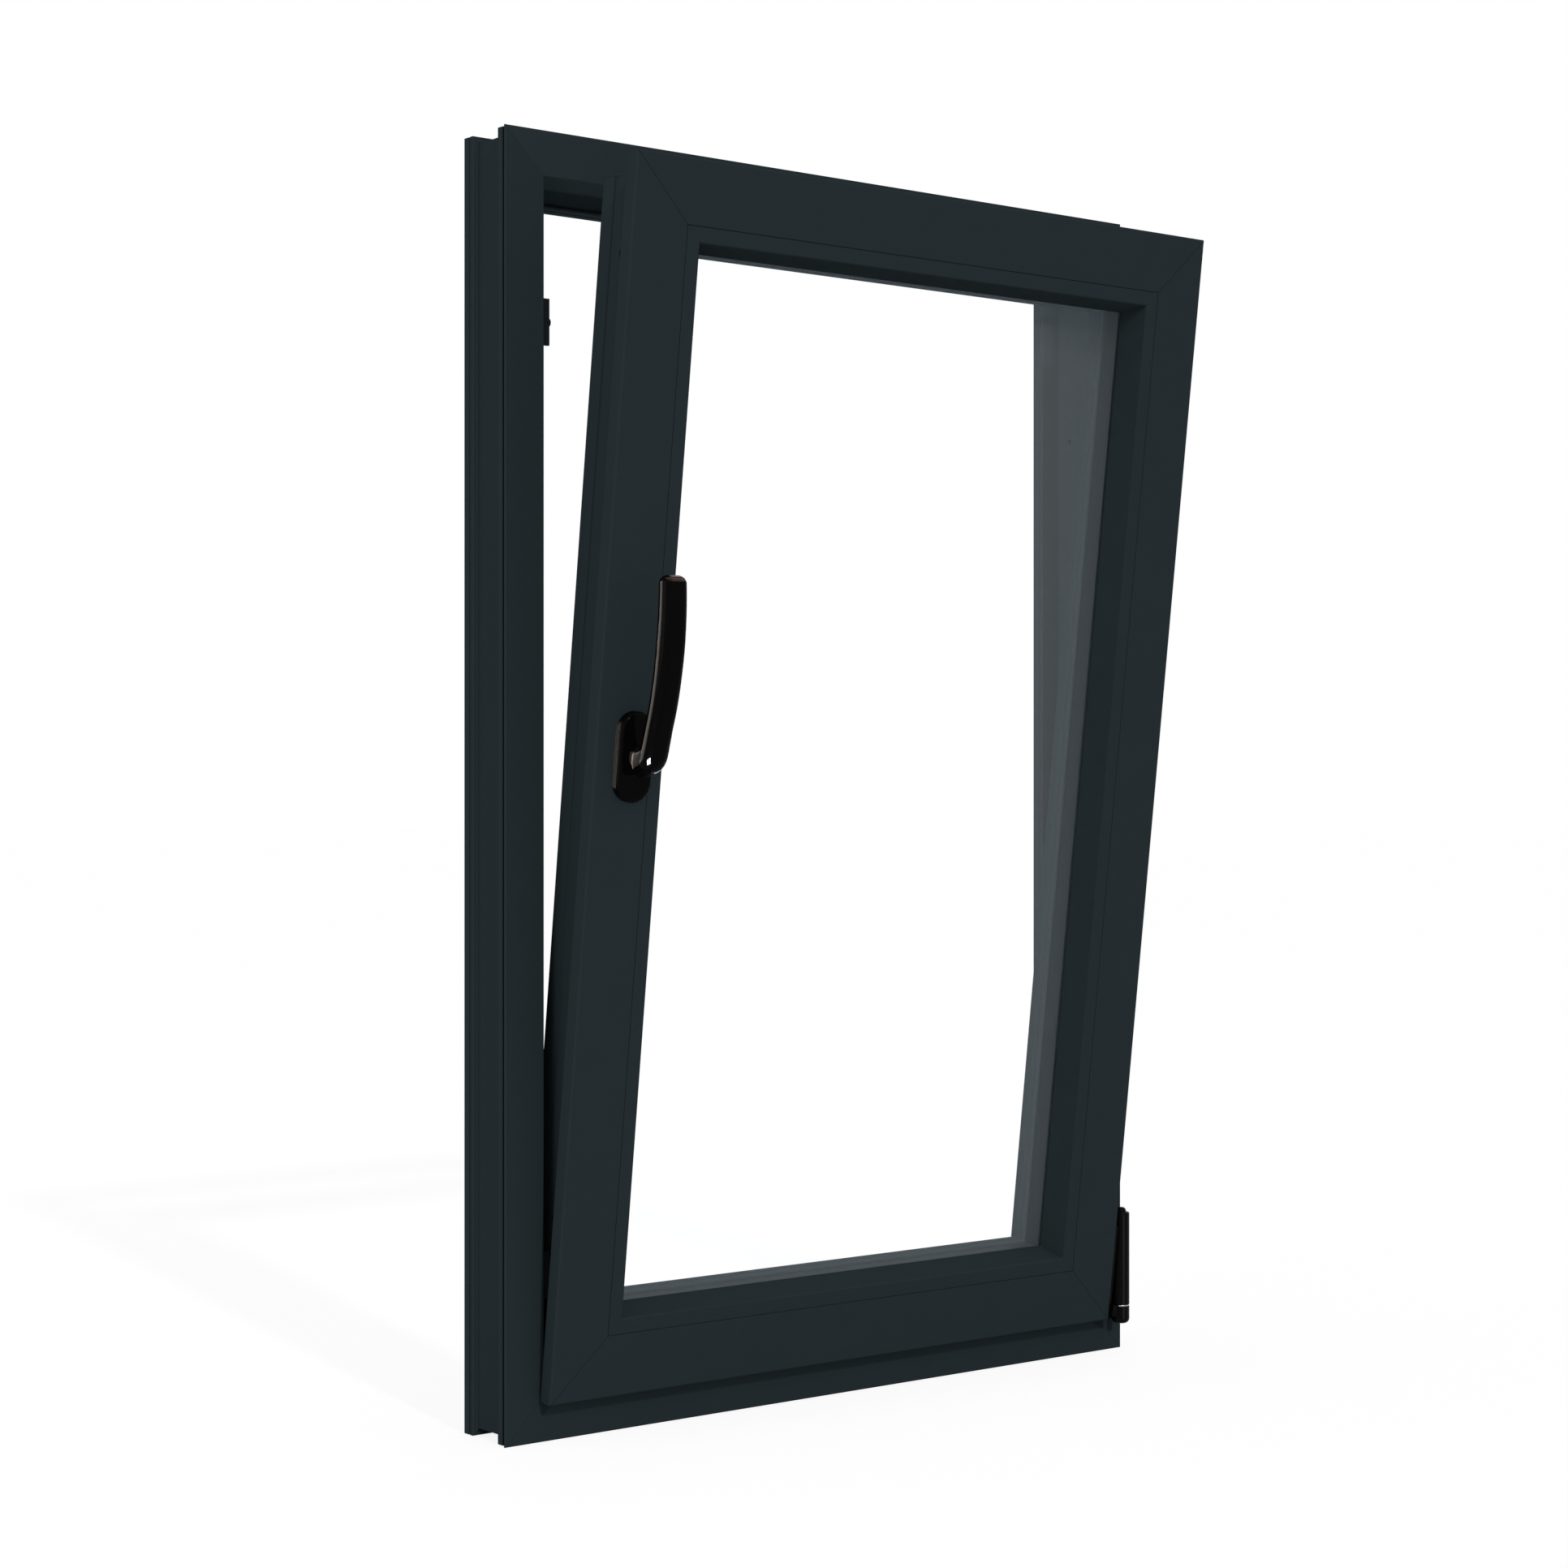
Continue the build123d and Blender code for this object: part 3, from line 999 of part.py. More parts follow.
def lever_line(run):
    """The lever's middle line at a distance from its neck: out from the sash, up, and its lean."""
    straight = NECK_STRAIGHT - NECK_LENGTH
    if run <= straight:
        return NECK_LENGTH + run, 0.0, 0.0
    out, up, lean = NECK_STRAIGHT, 0.0, 0.0
    left = run - straight
    for radius, turn in LEVER_ARCS:
        end = lean + min(left / radius * 180 / pi, turn)
        out += radius * (sin(radians(end)) - sin(radians(lean)))
        up += radius * (cos(radians(lean)) - cos(radians(end)))
        left -= radius * radians(end - lean)
        lean = end
    return out, up, lean


def lever_size(share):
    """The lever's width, thickness and swell at a share of its length."""
    sizes = (LEVER_WIDTH, LEVER_BEND_THICKNESS, LEVER_BEND_SWELL)
    for (start, *first), (end, *last) in zip(LEVER_SHAPE, LEVER_SHAPE[1:]):
        if share <= end:
            part = (share - start) / (end - start)
            return [size * (low + part * (high - low)) for size, low, high in zip(sizes, first, last)]
    return [size * last for size, last in zip(sizes, LEVER_SHAPE[-1][1:])]


def lever_tip():
    """The domed end of the lever, from its last full section outward."""
    out, up, lean = lever_line(LEVER_LENGTH)
    width, thickness, swell = lever_size(1.0)
    rings = [lever_section(out, up, lean, width, thickness, swell)]
    for turn in TIP_TURNS:
        reach = TIP_ROUND * sin(radians(turn))
        shrink = 2 * TIP_ROUND * (1 - cos(radians(turn)))
        rings.append(lever_section(out + reach * cos(radians(lean)), up + reach * sin(radians(lean)),
                                   lean, width - shrink, thickness - shrink, swell))
    return loft(rings)


def handle():
    """The lever with its neck, the square spindle and the hub in the gearbox."""
    shares = [i / LEVER_STATIONS for i in range(LEVER_STATIONS + 1)]
    grip = loft([lever_section(*lever_line(share * LEVER_LENGTH), *lever_size(share))
                 for share in shares])
    neck_y = (SASH_Y - NECK_LENGTH - ROSE_WALL, SASH_Y - ROSE_BASE - PLAY)
    neck = spigot(HANDLE_X, HANDLE_HEIGHT, neck_y, NECK_RADIUS)
    half = SPINDLE / 2
    socket_half = half + SPINDLE_FIT
    socket = block((HANDLE_X - socket_half, HANDLE_X + socket_half), (SASH_Y - NECK_LENGTH, SASH_Y),
                   (HANDLE_HEIGHT - socket_half, HANDLE_HEIGHT + socket_half))
    save("handle_lever", leaned(grip + neck + lever_tip() - socket))
    hub_y = groove_span(GROOVE_WIDTH / 2 - PLAY)
    spindle = block((HANDLE_X - half, HANDLE_X + half), (SASH_Y - NECK_LENGTH, hub_y[1]),
                    (HANDLE_HEIGHT - half, HANDLE_HEIGHT + half))
    save("handle_spindle", leaned(spindle))
    hub = spigot(HANDLE_X, HANDLE_HEIGHT, hub_y, HUB_RADIUS)
    hub -= block((HANDLE_X - socket_half, HANDLE_X + socket_half), hub_y,
                 (HANDLE_HEIGHT - socket_half, HANDLE_HEIGHT + socket_half))
    save("drive_hub", leaned(hub))


os.makedirs("parts", exist_ok=True)
frame_members()
frame_steels()
frame_seal()
drain_caps()
keeps()
frame_screws()
corner_bearing()
stay_bearing()
pivot_knuckle()
stay_arm()
sash_members()
sash_steels()
beads()
glass_unit()
sash_seals()
setting_blocks()
gearbox()
faceplates_and_rods()
corner_drives()
stay_guide()
hinge_leaf()
rose()
handle()
print("stay swing in degrees", round(STAY_SWING, 4))
print("hinge axis", HINGE_X - FRAME_WIDTH / 2, HINGE_Y - FRAME_DEPTH / 2)
print("tilt axis", HINGE_Y - FRAME_DEPTH / 2, TILT_Z - SEAT_DEPTH)
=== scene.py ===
"""Looks of an inward tilt-and-turn window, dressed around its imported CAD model.

Metres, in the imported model's own frame: +Z is up, +Y is towards outdoors and the room is at -Y.
The sash stands leaned into its tilt position, which is the model's rest pose.
"""

from __future__ import annotations

import json
import logging
import math
from collections.abc import Sequence
from dataclasses import dataclass, field
from enum import Enum
from typing import Union

import bmesh
import bpy
from mathutils import Euler, Matrix, Vector

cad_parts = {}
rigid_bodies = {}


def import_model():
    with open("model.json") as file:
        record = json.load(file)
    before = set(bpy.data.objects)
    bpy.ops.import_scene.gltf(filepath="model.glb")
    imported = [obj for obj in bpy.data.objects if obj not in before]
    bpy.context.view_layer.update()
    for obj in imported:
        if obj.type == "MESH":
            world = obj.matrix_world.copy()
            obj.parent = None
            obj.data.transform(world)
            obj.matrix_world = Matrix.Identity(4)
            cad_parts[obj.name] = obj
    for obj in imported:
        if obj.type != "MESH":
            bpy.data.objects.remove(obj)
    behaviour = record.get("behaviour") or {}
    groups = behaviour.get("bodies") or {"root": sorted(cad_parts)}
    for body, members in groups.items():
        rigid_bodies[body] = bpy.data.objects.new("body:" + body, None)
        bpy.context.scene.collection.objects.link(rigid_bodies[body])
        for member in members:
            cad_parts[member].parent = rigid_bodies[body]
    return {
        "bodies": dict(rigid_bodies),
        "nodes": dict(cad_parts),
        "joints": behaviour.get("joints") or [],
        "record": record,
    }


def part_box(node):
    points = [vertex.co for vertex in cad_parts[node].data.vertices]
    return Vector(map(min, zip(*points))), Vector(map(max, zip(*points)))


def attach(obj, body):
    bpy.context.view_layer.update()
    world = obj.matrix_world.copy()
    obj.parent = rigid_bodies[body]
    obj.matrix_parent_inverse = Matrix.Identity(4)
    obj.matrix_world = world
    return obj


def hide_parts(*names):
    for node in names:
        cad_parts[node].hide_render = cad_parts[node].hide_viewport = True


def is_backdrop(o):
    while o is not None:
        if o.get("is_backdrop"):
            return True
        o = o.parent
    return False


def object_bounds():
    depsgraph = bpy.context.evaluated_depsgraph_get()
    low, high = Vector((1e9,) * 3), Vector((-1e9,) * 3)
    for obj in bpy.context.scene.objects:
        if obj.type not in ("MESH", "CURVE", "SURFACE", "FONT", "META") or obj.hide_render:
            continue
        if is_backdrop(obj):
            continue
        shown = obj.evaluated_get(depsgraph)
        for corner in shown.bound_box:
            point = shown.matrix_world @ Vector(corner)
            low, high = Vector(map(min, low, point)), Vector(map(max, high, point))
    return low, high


LOG = logging.getLogger("window")
WHITE = (1.0, 1.0, 1.0, 1.0)

# The standard screen curve: a straight toe and a power above it
SCREEN_FULL = 255
TOE_END = 0.04045
TOE_SLOPE = 12.92
CURVE_OFFSET = 0.055
CURVE_POWER = 2.4

# What feeds a node: another node's socket or a plain number
NodeValue = Union[bpy.types.NodeSocket, float]


class Pattern(Enum):
    """How a finish varies over its surface."""

    MOTTLE = "surface_mottle"
    SPANGLE = "zinc_spangle"


class LampKind(Enum):
    """The kinds of lamp in the studio."""

    PANEL = "AREA"
    SUN = "SUN"


class Corner(Enum):
    """The four corners of a ring seen from the room, in the order that a sweep follows them."""

    TOP_RIGHT = 0
    BOTTOM_RIGHT = 1
    BOTTOM_LEFT = 2
    TOP_LEFT = 3


def linear(colour: Sequence[float]) -> tuple[float, float, float, float]:
    """Turns a screen colour into the shader's linear one.

    Args:
        colour: Red, green and blue from 0 to 255.

    Returns:
        The linear colour with full alpha.
    """
    shares = [value / SCREEN_FULL for value in colour]
    red, green, blue = (share / TOE_SLOPE if share <= TOE_END
                        else ((share + CURVE_OFFSET) / (1 + CURVE_OFFSET)) ** CURVE_POWER
                        for share in shares)
    return red, green, blue, 1.0


# Shader node groups


@dataclass
class NodeGroups:
    """The effects that several finishes share, each built once as a shader node group."""

    coarse_share: float = 0.015
    fine_detail: float = 3.0
    coarse_detail: float = 2.0
    tone_share: float = 0.5
    centre_scale: float = 2.0
    centre_shift: float = -1.0

    def get(self, pattern: Pattern) -> bpy.types.NodeTree:
        """Finds the group of a pattern, or builds it.

        Args:
            pattern: Which effect is wanted.

        Returns:
            The node group.
        """
        known = bpy.data.node_groups.get(pattern.value)
        if known:
            return known
        if pattern is Pattern.SPANGLE:
            return self._spangle(pattern.value)
        return self._mottle(pattern.value)

    @staticmethod
    def _start(name: str) -> tuple[bpy.types.NodeTree, bpy.types.Node, bpy.types.Node]:
        """Makes an empty group with the sockets that every pattern has.

        Args:
            name: The group's name.

        Returns:
            The group, its input node and its output node.
        """
        group = bpy.data.node_groups.new(name, "ShaderNodeTree")
        inputs = (("Colour", "NodeSocketColor"), ("Colour Spread", "NodeSocketFloat"),
                  ("Grain", "NodeSocketFloat"), ("Roughness", "NodeSocketFloat"),
                  ("Roughness Spread", "NodeSocketFloat"))
        outputs = (("Colour", "NodeSocketColor"), ("Roughness", "NodeSocketFloat"),
                   ("Height", "NodeSocketFloat"))
        for label, kind in inputs:
            group.interface.new_socket(label, in_out="INPUT", socket_type=kind)
        for label, kind in outputs:
            group.interface.new_socket(label, in_out="OUTPUT", socket_type=kind)
        return group, group.nodes.new("NodeGroupInput"), group.nodes.new("NodeGroupOutput")

    @staticmethod
    def _math(group: bpy.types.NodeTree, operation: str, first: NodeValue,
              second: NodeValue) -> bpy.types.NodeSocket:
        """Adds one sum to a group.

        Args:
            group: The group that gets the node.
            operation: The Math node's operation.
            first: A socket or a number.
            second: A socket or a number.

        Returns:
            The socket that holds the result.
        """
        node = group.nodes.new("ShaderNodeMath")
        node.operation = operation
        for index, value in enumerate((first, second)):
            if isinstance(value, (int, float)):
                node.inputs[index].default_value = value
            else:
                group.links.new(value, node.inputs[index])
        return node.outputs[0]

    def _vary(self, group: bpy.types.NodeTree, base: NodeValue, spread: NodeValue,
              amount: NodeValue) -> bpy.types.NodeSocket:
        """Adds a spread to a value, more where the pattern is high and less where it is low.

        Args:
            group: The group that gets the nodes.
            base: The value in the middle.
            spread: How far the value may go each way.
            amount: The pattern, from 0 to 1.

        Returns:
            The socket that holds the varied value.
        """
        centred = self._math(group, "MULTIPLY_ADD", amount, self.centre_scale)
        centred.node.inputs[2].default_value = self.centre_shift
        return self._math(group, "ADD", base, self._math(group, "MULTIPLY", centred, spread))

    def _finish(self, group: bpy.types.NodeTree, source: bpy.types.Node, sink: bpy.types.Node,
                tone: NodeValue, grain: NodeValue) -> bpy.types.NodeTree:
        """Links a pattern's tone and grain to the group's outputs.

        Args:
            group: The group.
            source: Its input node.
            sink: Its output node.
            tone: The pattern that shades the colour.
            grain: The pattern that shades roughness and height.

        Returns:
            The finished group.
        """
        shade = group.nodes.new("ShaderNodeVectorMath")
        shade.operation = "SCALE"
        group.links.new(source.outputs["Colour"], shade.inputs[0])
        scale = self._vary(group, 1.0, source.outputs["Colour Spread"], tone)
        group.links.new(scale, shade.inputs["Scale"])
        group.links.new(shade.outputs[0], sink.inputs["Colour"])
        rough = self._vary(group, source.outputs["Roughness"], source.outputs["Roughness Spread"], grain)
        group.links.new(rough, sink.inputs["Roughness"])
        group.links.new(grain, sink.inputs["Height"])
        return group

    @staticmethod
    def _noise(group: bpy.types.NodeTree, scale: bpy.types.NodeSocket,
               detail: float) -> bpy.types.NodeSocket:
        """Adds a noise texture in the piece's own coordinates.

        Args:
            group: The group that gets the nodes.
            scale: The socket that holds the noise's scale, per metre.
            detail: How many finer layers it has.

        Returns:
            The noise, from 0 to 1.
        """
        place = group.nodes.new("ShaderNodeTexCoord")
        noise = group.nodes.new("ShaderNodeTexNoise")
        noise.inputs["Detail"].default_value = detail
        group.links.new(place.outputs["Object"], noise.inputs["Vector"])
        group.links.new(scale, noise.inputs["Scale"])
        return noise.outputs["Fac"]

    def _mottle(self, name: str) -> bpy.types.NodeTree:
        """A fine grain over slow clouds, for foil, lacquer, rubber, glass and plated metal.

        Args:
            name: The group's name.

        Returns:
            The group.
        """
        group, source, sink = self._start(name)
        fine = self._noise(group, source.outputs["Grain"], self.fine_detail)
        coarse_scale = self._math(group, "MULTIPLY", source.outputs["Grain"], self.coarse_share)
        coarse = self._noise(group, coarse_scale, self.coarse_detail)
        tone = self._math(group, "MULTIPLY", self._math(group, "ADD", fine, coarse), self.tone_share)
        return self._finish(group, source, sink, tone, fine)

    def _spangle(self, name: str) -> bpy.types.NodeTree:
        """The crystal flakes of hot-dip zinc.

        Args:
            name: The group's name.

        Returns:
            The group.
        """
        group, source, sink = self._start(name)
        place = group.nodes.new("ShaderNodeTexCoord")
        cells = group.nodes.new("ShaderNodeTexVoronoi")
        group.links.new(place.outputs["Object"], cells.inputs["Vector"])
        group.links.new(source.outputs["Grain"], cells.inputs["Scale"])
        split = group.nodes.new("ShaderNodeSeparateColor")
        group.links.new(cells.outputs["Color"], split.inputs[0])
        return self._finish(group, source, sink, split.outputs[0], split.outputs[1])


GROUPS = NodeGroups()


# Finishes


@dataclass(frozen=True)
class Finish:
    """One opaque finish: the shader's own values and how the surface varies."""

    name: str
    colour: tuple[float, float, float]
    roughness: float
    metallic: float = 0.0
    specular: float = 0.5
    pattern: Pattern = Pattern.MOTTLE
    grain_per_metre: float = 1200.0
    colour_spread: float = 0.06
    roughness_spread: float = 0.05
    bump: float = 0.15
    bump_depth: float = 0.00004

    def material(self) -> bpy.types.Material:
        """Finds this finish's material, or builds it.

        Returns:
            The material.
        """
        known = bpy.data.materials.get(self.name)
        if known:
            return known
        material = bpy.data.materials.new(self.name)
        material.use_nodes = True
        tree = material.node_tree
        shader = tree.nodes["Principled BSDF"]
        shader.inputs["Metallic"].default_value = self.metallic
        shader.inputs["Specular IOR Level"].default_value = self.specular
        effect = tree.nodes.new("ShaderNodeGroup")
        effect.node_tree = GROUPS.get(self.pattern)
        effect.inputs["Colour"].default_value = linear(self.colour)
        effect.inputs["Colour Spread"].default_value = self.colour_spread
        effect.inputs["Grain"].default_value = self.grain_per_metre
        effect.inputs["Roughness"].default_value = self.roughness
        effect.inputs["Roughness Spread"].default_value = self.roughness_spread
        bump = tree.nodes.new("ShaderNodeBump")
        bump.inputs["Strength"].default_value = self.bump
        bump.inputs["Distance"].default_value = self.bump_depth
        tree.links.new(effect.outputs["Colour"], shader.inputs["Base Color"])
        tree.links.new(effect.outputs["Roughness"], shader.inputs["Roughness"])
        tree.links.new(effect.outputs["Height"], bump.inputs["Height"])
        tree.links.new(bump.outputs["Normal"], shader.inputs["Normal"])
        return material


@dataclass(frozen=True)
class ClearGlass:
    """Float glass with a faint haze and a faint painted reflection of the sky, a glow that stands in for
    the sky it mirrors; light passes through to what lies behind.
    """

    name: str
    colour: tuple[float, float, float]
    ior: float
    clearness: float
    sky_reflection_glow: tuple[float, float, float]
    sky_reflection_glow_strength: float
    colour_spread: float
    grain_per_metre: float

    def material(self) -> bpy.types.Material:
        """Finds the glass material, or builds it.

        Returns:
            The material.
        """
        known = bpy.data.materials.get(self.name)
        if known:
            return known
        material = bpy.data.materials.new(self.name)
        material.use_nodes = True
        tree = material.node_tree
        shader = tree.nodes["Principled BSDF"]
        shader.inputs["Transmission Weight"].default_value = self.clearness
        # Painted reflection: a faint glow in the sky's colour stands in for the sky that the glass mirrors
        shader.inputs["Emission Color"].default_value = linear(self.sky_reflection_glow)
        shader.inputs["Emission Strength"].default_value = self.sky_reflection_glow_strength
        shader.inputs["IOR"].default_value = self.ior
        shader.inputs["Roughness"].default_value = 0.0
        effect = tree.nodes.new("ShaderNodeGroup")
        effect.node_tree = GROUPS.get(Pattern.MOTTLE)
        effect.inputs["Colour"].default_value = linear(self.colour)
        effect.inputs["Colour Spread"].default_value = self.colour_spread
        effect.inputs["Grain"].default_value = self.grain_per_metre
        tree.links.new(effect.outputs["Colour"], shader.inputs["Base Color"])
        clear = tree.nodes.new("ShaderNodeBsdfTransparent")
        rays = tree.nodes.new("ShaderNodeLightPath")
        passing = tree.nodes.new("ShaderNodeMath")
        passing.operation = "MAXIMUM"
        choice = tree.nodes.new("ShaderNodeMixShader")
        tree.links.new(rays.outputs["Is Shadow Ray"], passing.inputs[0])
        tree.links.new(rays.outputs["Is Diffuse Ray"], passing.inputs[1])
        tree.links.new(passing.outputs[0], choice.inputs["Fac"])
        tree.links.new(shader.outputs[0], choice.inputs[1])
        tree.links.new(clear.outputs[0], choice.inputs[2])
        tree.links.new(choice.outputs[0], tree.nodes["Material Output"].inputs["Surface"])
        return material


FINISHES: dict[str, Finish | ClearGlass] = {
    "profile": Finish("anthracite_foil", (36, 44, 47), 0.7, specular=0.0, grain_per_metre=2200.0),
    "seam": Finish("weld_seam", (25, 31, 33), 0.8, specular=0.0, grain_per_metre=2200.0),
    # Painted shade: a dark finish for the faces inside the frame's front groove, where shade falls
    "groove": Finish("painted_groove_shade", (16, 17, 18), 0.9, specular=0.0, grain_per_metre=2200.0),
    "galvanised_steel": Finish("galvanised_tube", (176, 180, 184), 0.38, metallic=1.0,
                               pattern=Pattern.SPANGLE, grain_per_metre=260.0, colour_spread=0.12,
                               roughness_spread=0.1, bump=0.05),
    "rubber": Finish("seal_rubber", (42, 49, 53), 0.75, specular=0.0, grain_per_metre=1600.0),
    "dark_metal": Finish("black_satin_metal", (7, 7, 7), 0.25, specular=0.03, grain_per_metre=1800.0),
    "keep_metal": Finish("slate_satin_metal", (24, 28, 32), 0.4, specular=0.01, grain_per_metre=1800.0),
    "hardware_steel": Finish("zinc_plate", (160, 162, 166), 0.3, metallic=1.0, grain_per_metre=700.0,
                             colour_spread=0.1, roughness_spread=0.08, bump=0.08),
    # The glass's faint glow is a painted reflection of the sky
    "glass": ClearGlass("float_glass", (255, 255, 255), ior=1.05, clearness=0.9905, sky_reflection_glow=(143, 162, 174),
                        sky_reflection_glow_strength=0.022, colour_spread=0.002, grain_per_metre=40.0),
    "spacer": Finish("warm_edge_spacer", (46, 52, 56), 0.5, specular=0.02, grain_per_metre=900.0),
    "block_plastic": Finish("moulded_plastic", (26, 26, 27), 0.6, specular=0.2, grain_per_metre=1500.0),
    "handle_lacquer": Finish("dark_lacquer", (6, 5, 6), 0.07, specular=0.02, grain_per_metre=900.0,
                             colour_spread=0.12, roughness_spread=0.02, bump=0.02),
}


# Shared shapes


@dataclass(frozen=True)
class SashLean:
    """The lean of the sash at rest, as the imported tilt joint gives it."""

    axis_y: float
    axis_z: float
    angle: float

    @classmethod
    def from_joints(cls, joints: Sequence[dict]) -> SashLean:
        """Reads the lean from the tilt joint.

        Args:
            joints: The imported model's joints.

        Returns:
            The lean.
        """
        tilt = next(joint for joint in joints if joint["name"] == "sash_tilt")
        _, axis_y, axis_z = tilt["pos_m"]
        return cls(axis_y, axis_z, -math.radians(tilt["range_deg"][0]))

    def matrix(self) -> Matrix:
        """The move from the closed sash to the leaned one."""
        there = Matrix.Translation((0, self.axis_y, self.axis_z))
        return there @ Matrix.Rotation(self.angle, 4, "X") @ there.inverted()


def sweep(name: str, stations: Sequence[Sequence[Vector]], closed: bool) -> bpy.types.Object:
    """Joins equal cross-sections into one skin.

    Args:
        name: The piece's name.
        stations: The cross-sections, each with as many points as the first.
        closed: Whether the last station joins the first; otherwise both ends are capped.

    Returns:
        The new object, linked to the scene.
    """
    mesh = bmesh.new()
    rings = [[mesh.verts.new(point) for point in station] for station in stations]
    pairs = list(zip(rings, rings[1:]))
    if closed:
        pairs.append((rings[-1], rings[0]))
    for here, there in pairs:
        count = len(here)
        for index in range(count):
            after = (index + 1) % count
            mesh.faces.new((here[index], here[after], there[after], there[index]))
    if not closed:
        mesh.faces.new(rings[0])
        mesh.faces.new(rings[-1])
    bmesh.ops.recalc_face_normals(mesh, faces=mesh.faces)
    data = bpy.data.meshes.new(name)
    mesh.to_mesh(data)
    mesh.free()
    data.shade_smooth()
    piece = bpy.data.objects.new(name, data)
    bpy.context.collection.objects.link(piece)
    return piece


@dataclass
class Gasket:
    """A rubber seal swept round a rectangle: a flat foot and a round bulb that stands on it."""

    node: str
    body: str
    width: float
    towards_room: bool = True
    foot_share: float = 0.3
    bulb_points: int = 11
    sharp_angle: float = math.radians(50)
    slot: str = "rubber"

    def section(self) -> list[tuple[float, float]]:
        """The profile as shares: across from the outer edge, and proud of the foot.

        Returns:
            The profile's points in order.
        """
        points = [(1.0, 0.0), (0.0, 0.0)]
        for index in range(self.bulb_points):
            turn = math.pi * (1 - index / (self.bulb_points - 1))
            rise = (1 - self.foot_share) * math.sin(turn)
            points.append((0.5 + 0.5 * math.cos(turn), self.foot_share + rise))
        return points

    @staticmethod
    def corners(low: Vector, high: Vector, inset: float, depth: float) -> dict[Corner, Vector]:
        """The ring's four corners at one point of the profile.

        Args:
            low: The ring's lowest outer corner.
            high: The ring's highest outer corner.
            inset: How far the point lies inside the outer edge.
            depth: The point's place along Y.

        Returns:
            The point at each corner.
        """
        left, right = low.x + inset, high.x - inset
        bottom, top = low.z + inset, high.z - inset
        return {Corner.TOP_RIGHT: Vector((right, depth, top)),
                Corner.BOTTOM_RIGHT: Vector((right, depth, bottom)),
                Corner.BOTTOM_LEFT: Vector((left, depth, bottom)),
                Corner.TOP_LEFT: Vector((left, depth, top))}

    def build(self, source: bpy.types.Object, lean: Matrix,
              gap: tuple[float, float] | None = None) -> bpy.types.Object:
        """Builds the seal in the place of its CAD solid.

        Args:
            source: The CAD node.
            lean: The move from the drawing pose to the rest pose.
            gap: Heights between which the right run is left out, in the drawing pose.

        Returns:
            The new piece.
        """
        back = lean.inverted()
        points = [back @ vertex.co for vertex in source.data.vertices]
        low = Vector([min(point[axis] for point in points) for axis in range(3)])
        high = Vector([max(point[axis] for point in points) for axis in range(3)])
        foot, tip = (high.y, low.y) if self.towards_room else (low.y, high.y)
        columns = [self.corners(low, high, across * self.width, foot + proud * (tip - foot))
                   for across, proud in self.section()]
        stations = [[column[corner] for column in columns] for corner in Corner]
        if gap:
            stations = self.open_right_run(stations, gap)
        leaned = [[lean @ point for point in station] for station in stations]
        piece = sweep(self.node + "_rubber", leaned, closed=gap is None)
        piece.data.set_sharp_from_angle(angle=self.sharp_angle)
        piece.data.materials.append(FINISHES[self.slot].material())
        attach(piece, self.body)
        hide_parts(self.node)
        LOG.info("seal %s", piece.name)
        return piece

    @staticmethod
    def open_right_run(stations: list[list[Vector]], gap: tuple[float, float]) -> list[list[Vector]]:
        """Starts and ends the sweep at a gap in the right run.

        Args:
            stations: The four corner stations, the top right one first.
            gap: The gap's lower and upper height.

        Returns:
            The stations from the gap's lower edge round to its upper edge.
        """
        top_right, rest = stations[0], stations[1:]
        lower, upper = ([Vector((p.x, p.y, height)) for p in top_right] for height in gap)
        return [lower, *rest, top_right, upper]


@dataclass(frozen=True)
class MitreSeam:
    """The fine dark line where two mitred lengths meet, cut as a narrow chamfer on their ends."""

    width: float
    slot: str = "seam"
    weld: float = 1e-6
    slack: float = 2e-5

    def add(self, piece: bpy.types.Object, low: Vector, high: Vector, lean: Matrix) -> None:
        """Chamfers the mitred ends of a length.

        Args:
            piece: The CAD node.
            low: The lowest corner of the ring's box, in the drawing pose.
            high: The highest corner of the ring's box, in the drawing pose.
            lean: The move from the drawing pose to the rest pose.
        """
        self.mark_ends(piece.data, low, high, lean.inverted())
        piece.data.materials.append(FINISHES[self.slot].material())
        join = piece.modifiers.new("join_corners", "WELD")
        join.merge_threshold = self.weld
        cut = piece.modifiers.new("mitre_seam", "BEVEL")
        cut.width = self.width
        cut.segments = 1
        cut.limit_method = "WEIGHT"
        cut.use_clamp_overlap = False
        cut.material = len(piece.data.materials) - 1
        shade = piece.modifiers.new("even_shading", "WEIGHTED_NORMAL")
        shade.keep_sharp = False

    def mark_ends(self, data: bpy.types.Mesh, low: Vector, high: Vector, back: Matrix) -> None:
        """Marks the edges round the mitred ends for the chamfer.

        Args:
            data: The node's mesh.
            low: The lowest corner of the ring's box.
            high: The highest corner of the ring's box.
            back: The move from the rest pose to the drawing pose.
        """
        mesh = bmesh.new()
        mesh.from_mesh(data)
        mesh.edges.ensure_lookup_table()
        weights = [float(edge.is_boundary and self.on_mitre([back @ v.co for v in edge.verts], low, high))
                   for edge in mesh.edges]
        mesh.free()
        layer = data.attributes.new("bevel_weight_edge", "FLOAT", "EDGE")
        layer.data.foreach_set("value", weights)

    def on_mitre(self, points: Sequence[Vector], low: Vector, high: Vector) -> bool:
        """Whether points all lie on one of the ring's four mitre planes.

        Args:
            points: The points to test.
            low: The lowest corner of the ring's box.
            high: The highest corner of the ring's box.

        Returns:
            True where they do.
        """
        across = ([p.x - low.x for p in points], [high.x - p.x for p in points])
        along = ([p.z - low.z for p in points], [high.z - p.z for p in points])
        return any(all(abs(a - b) < self.slack for a, b in zip(one, other))
                   for one in across for other in along)


# Sub-assemblies


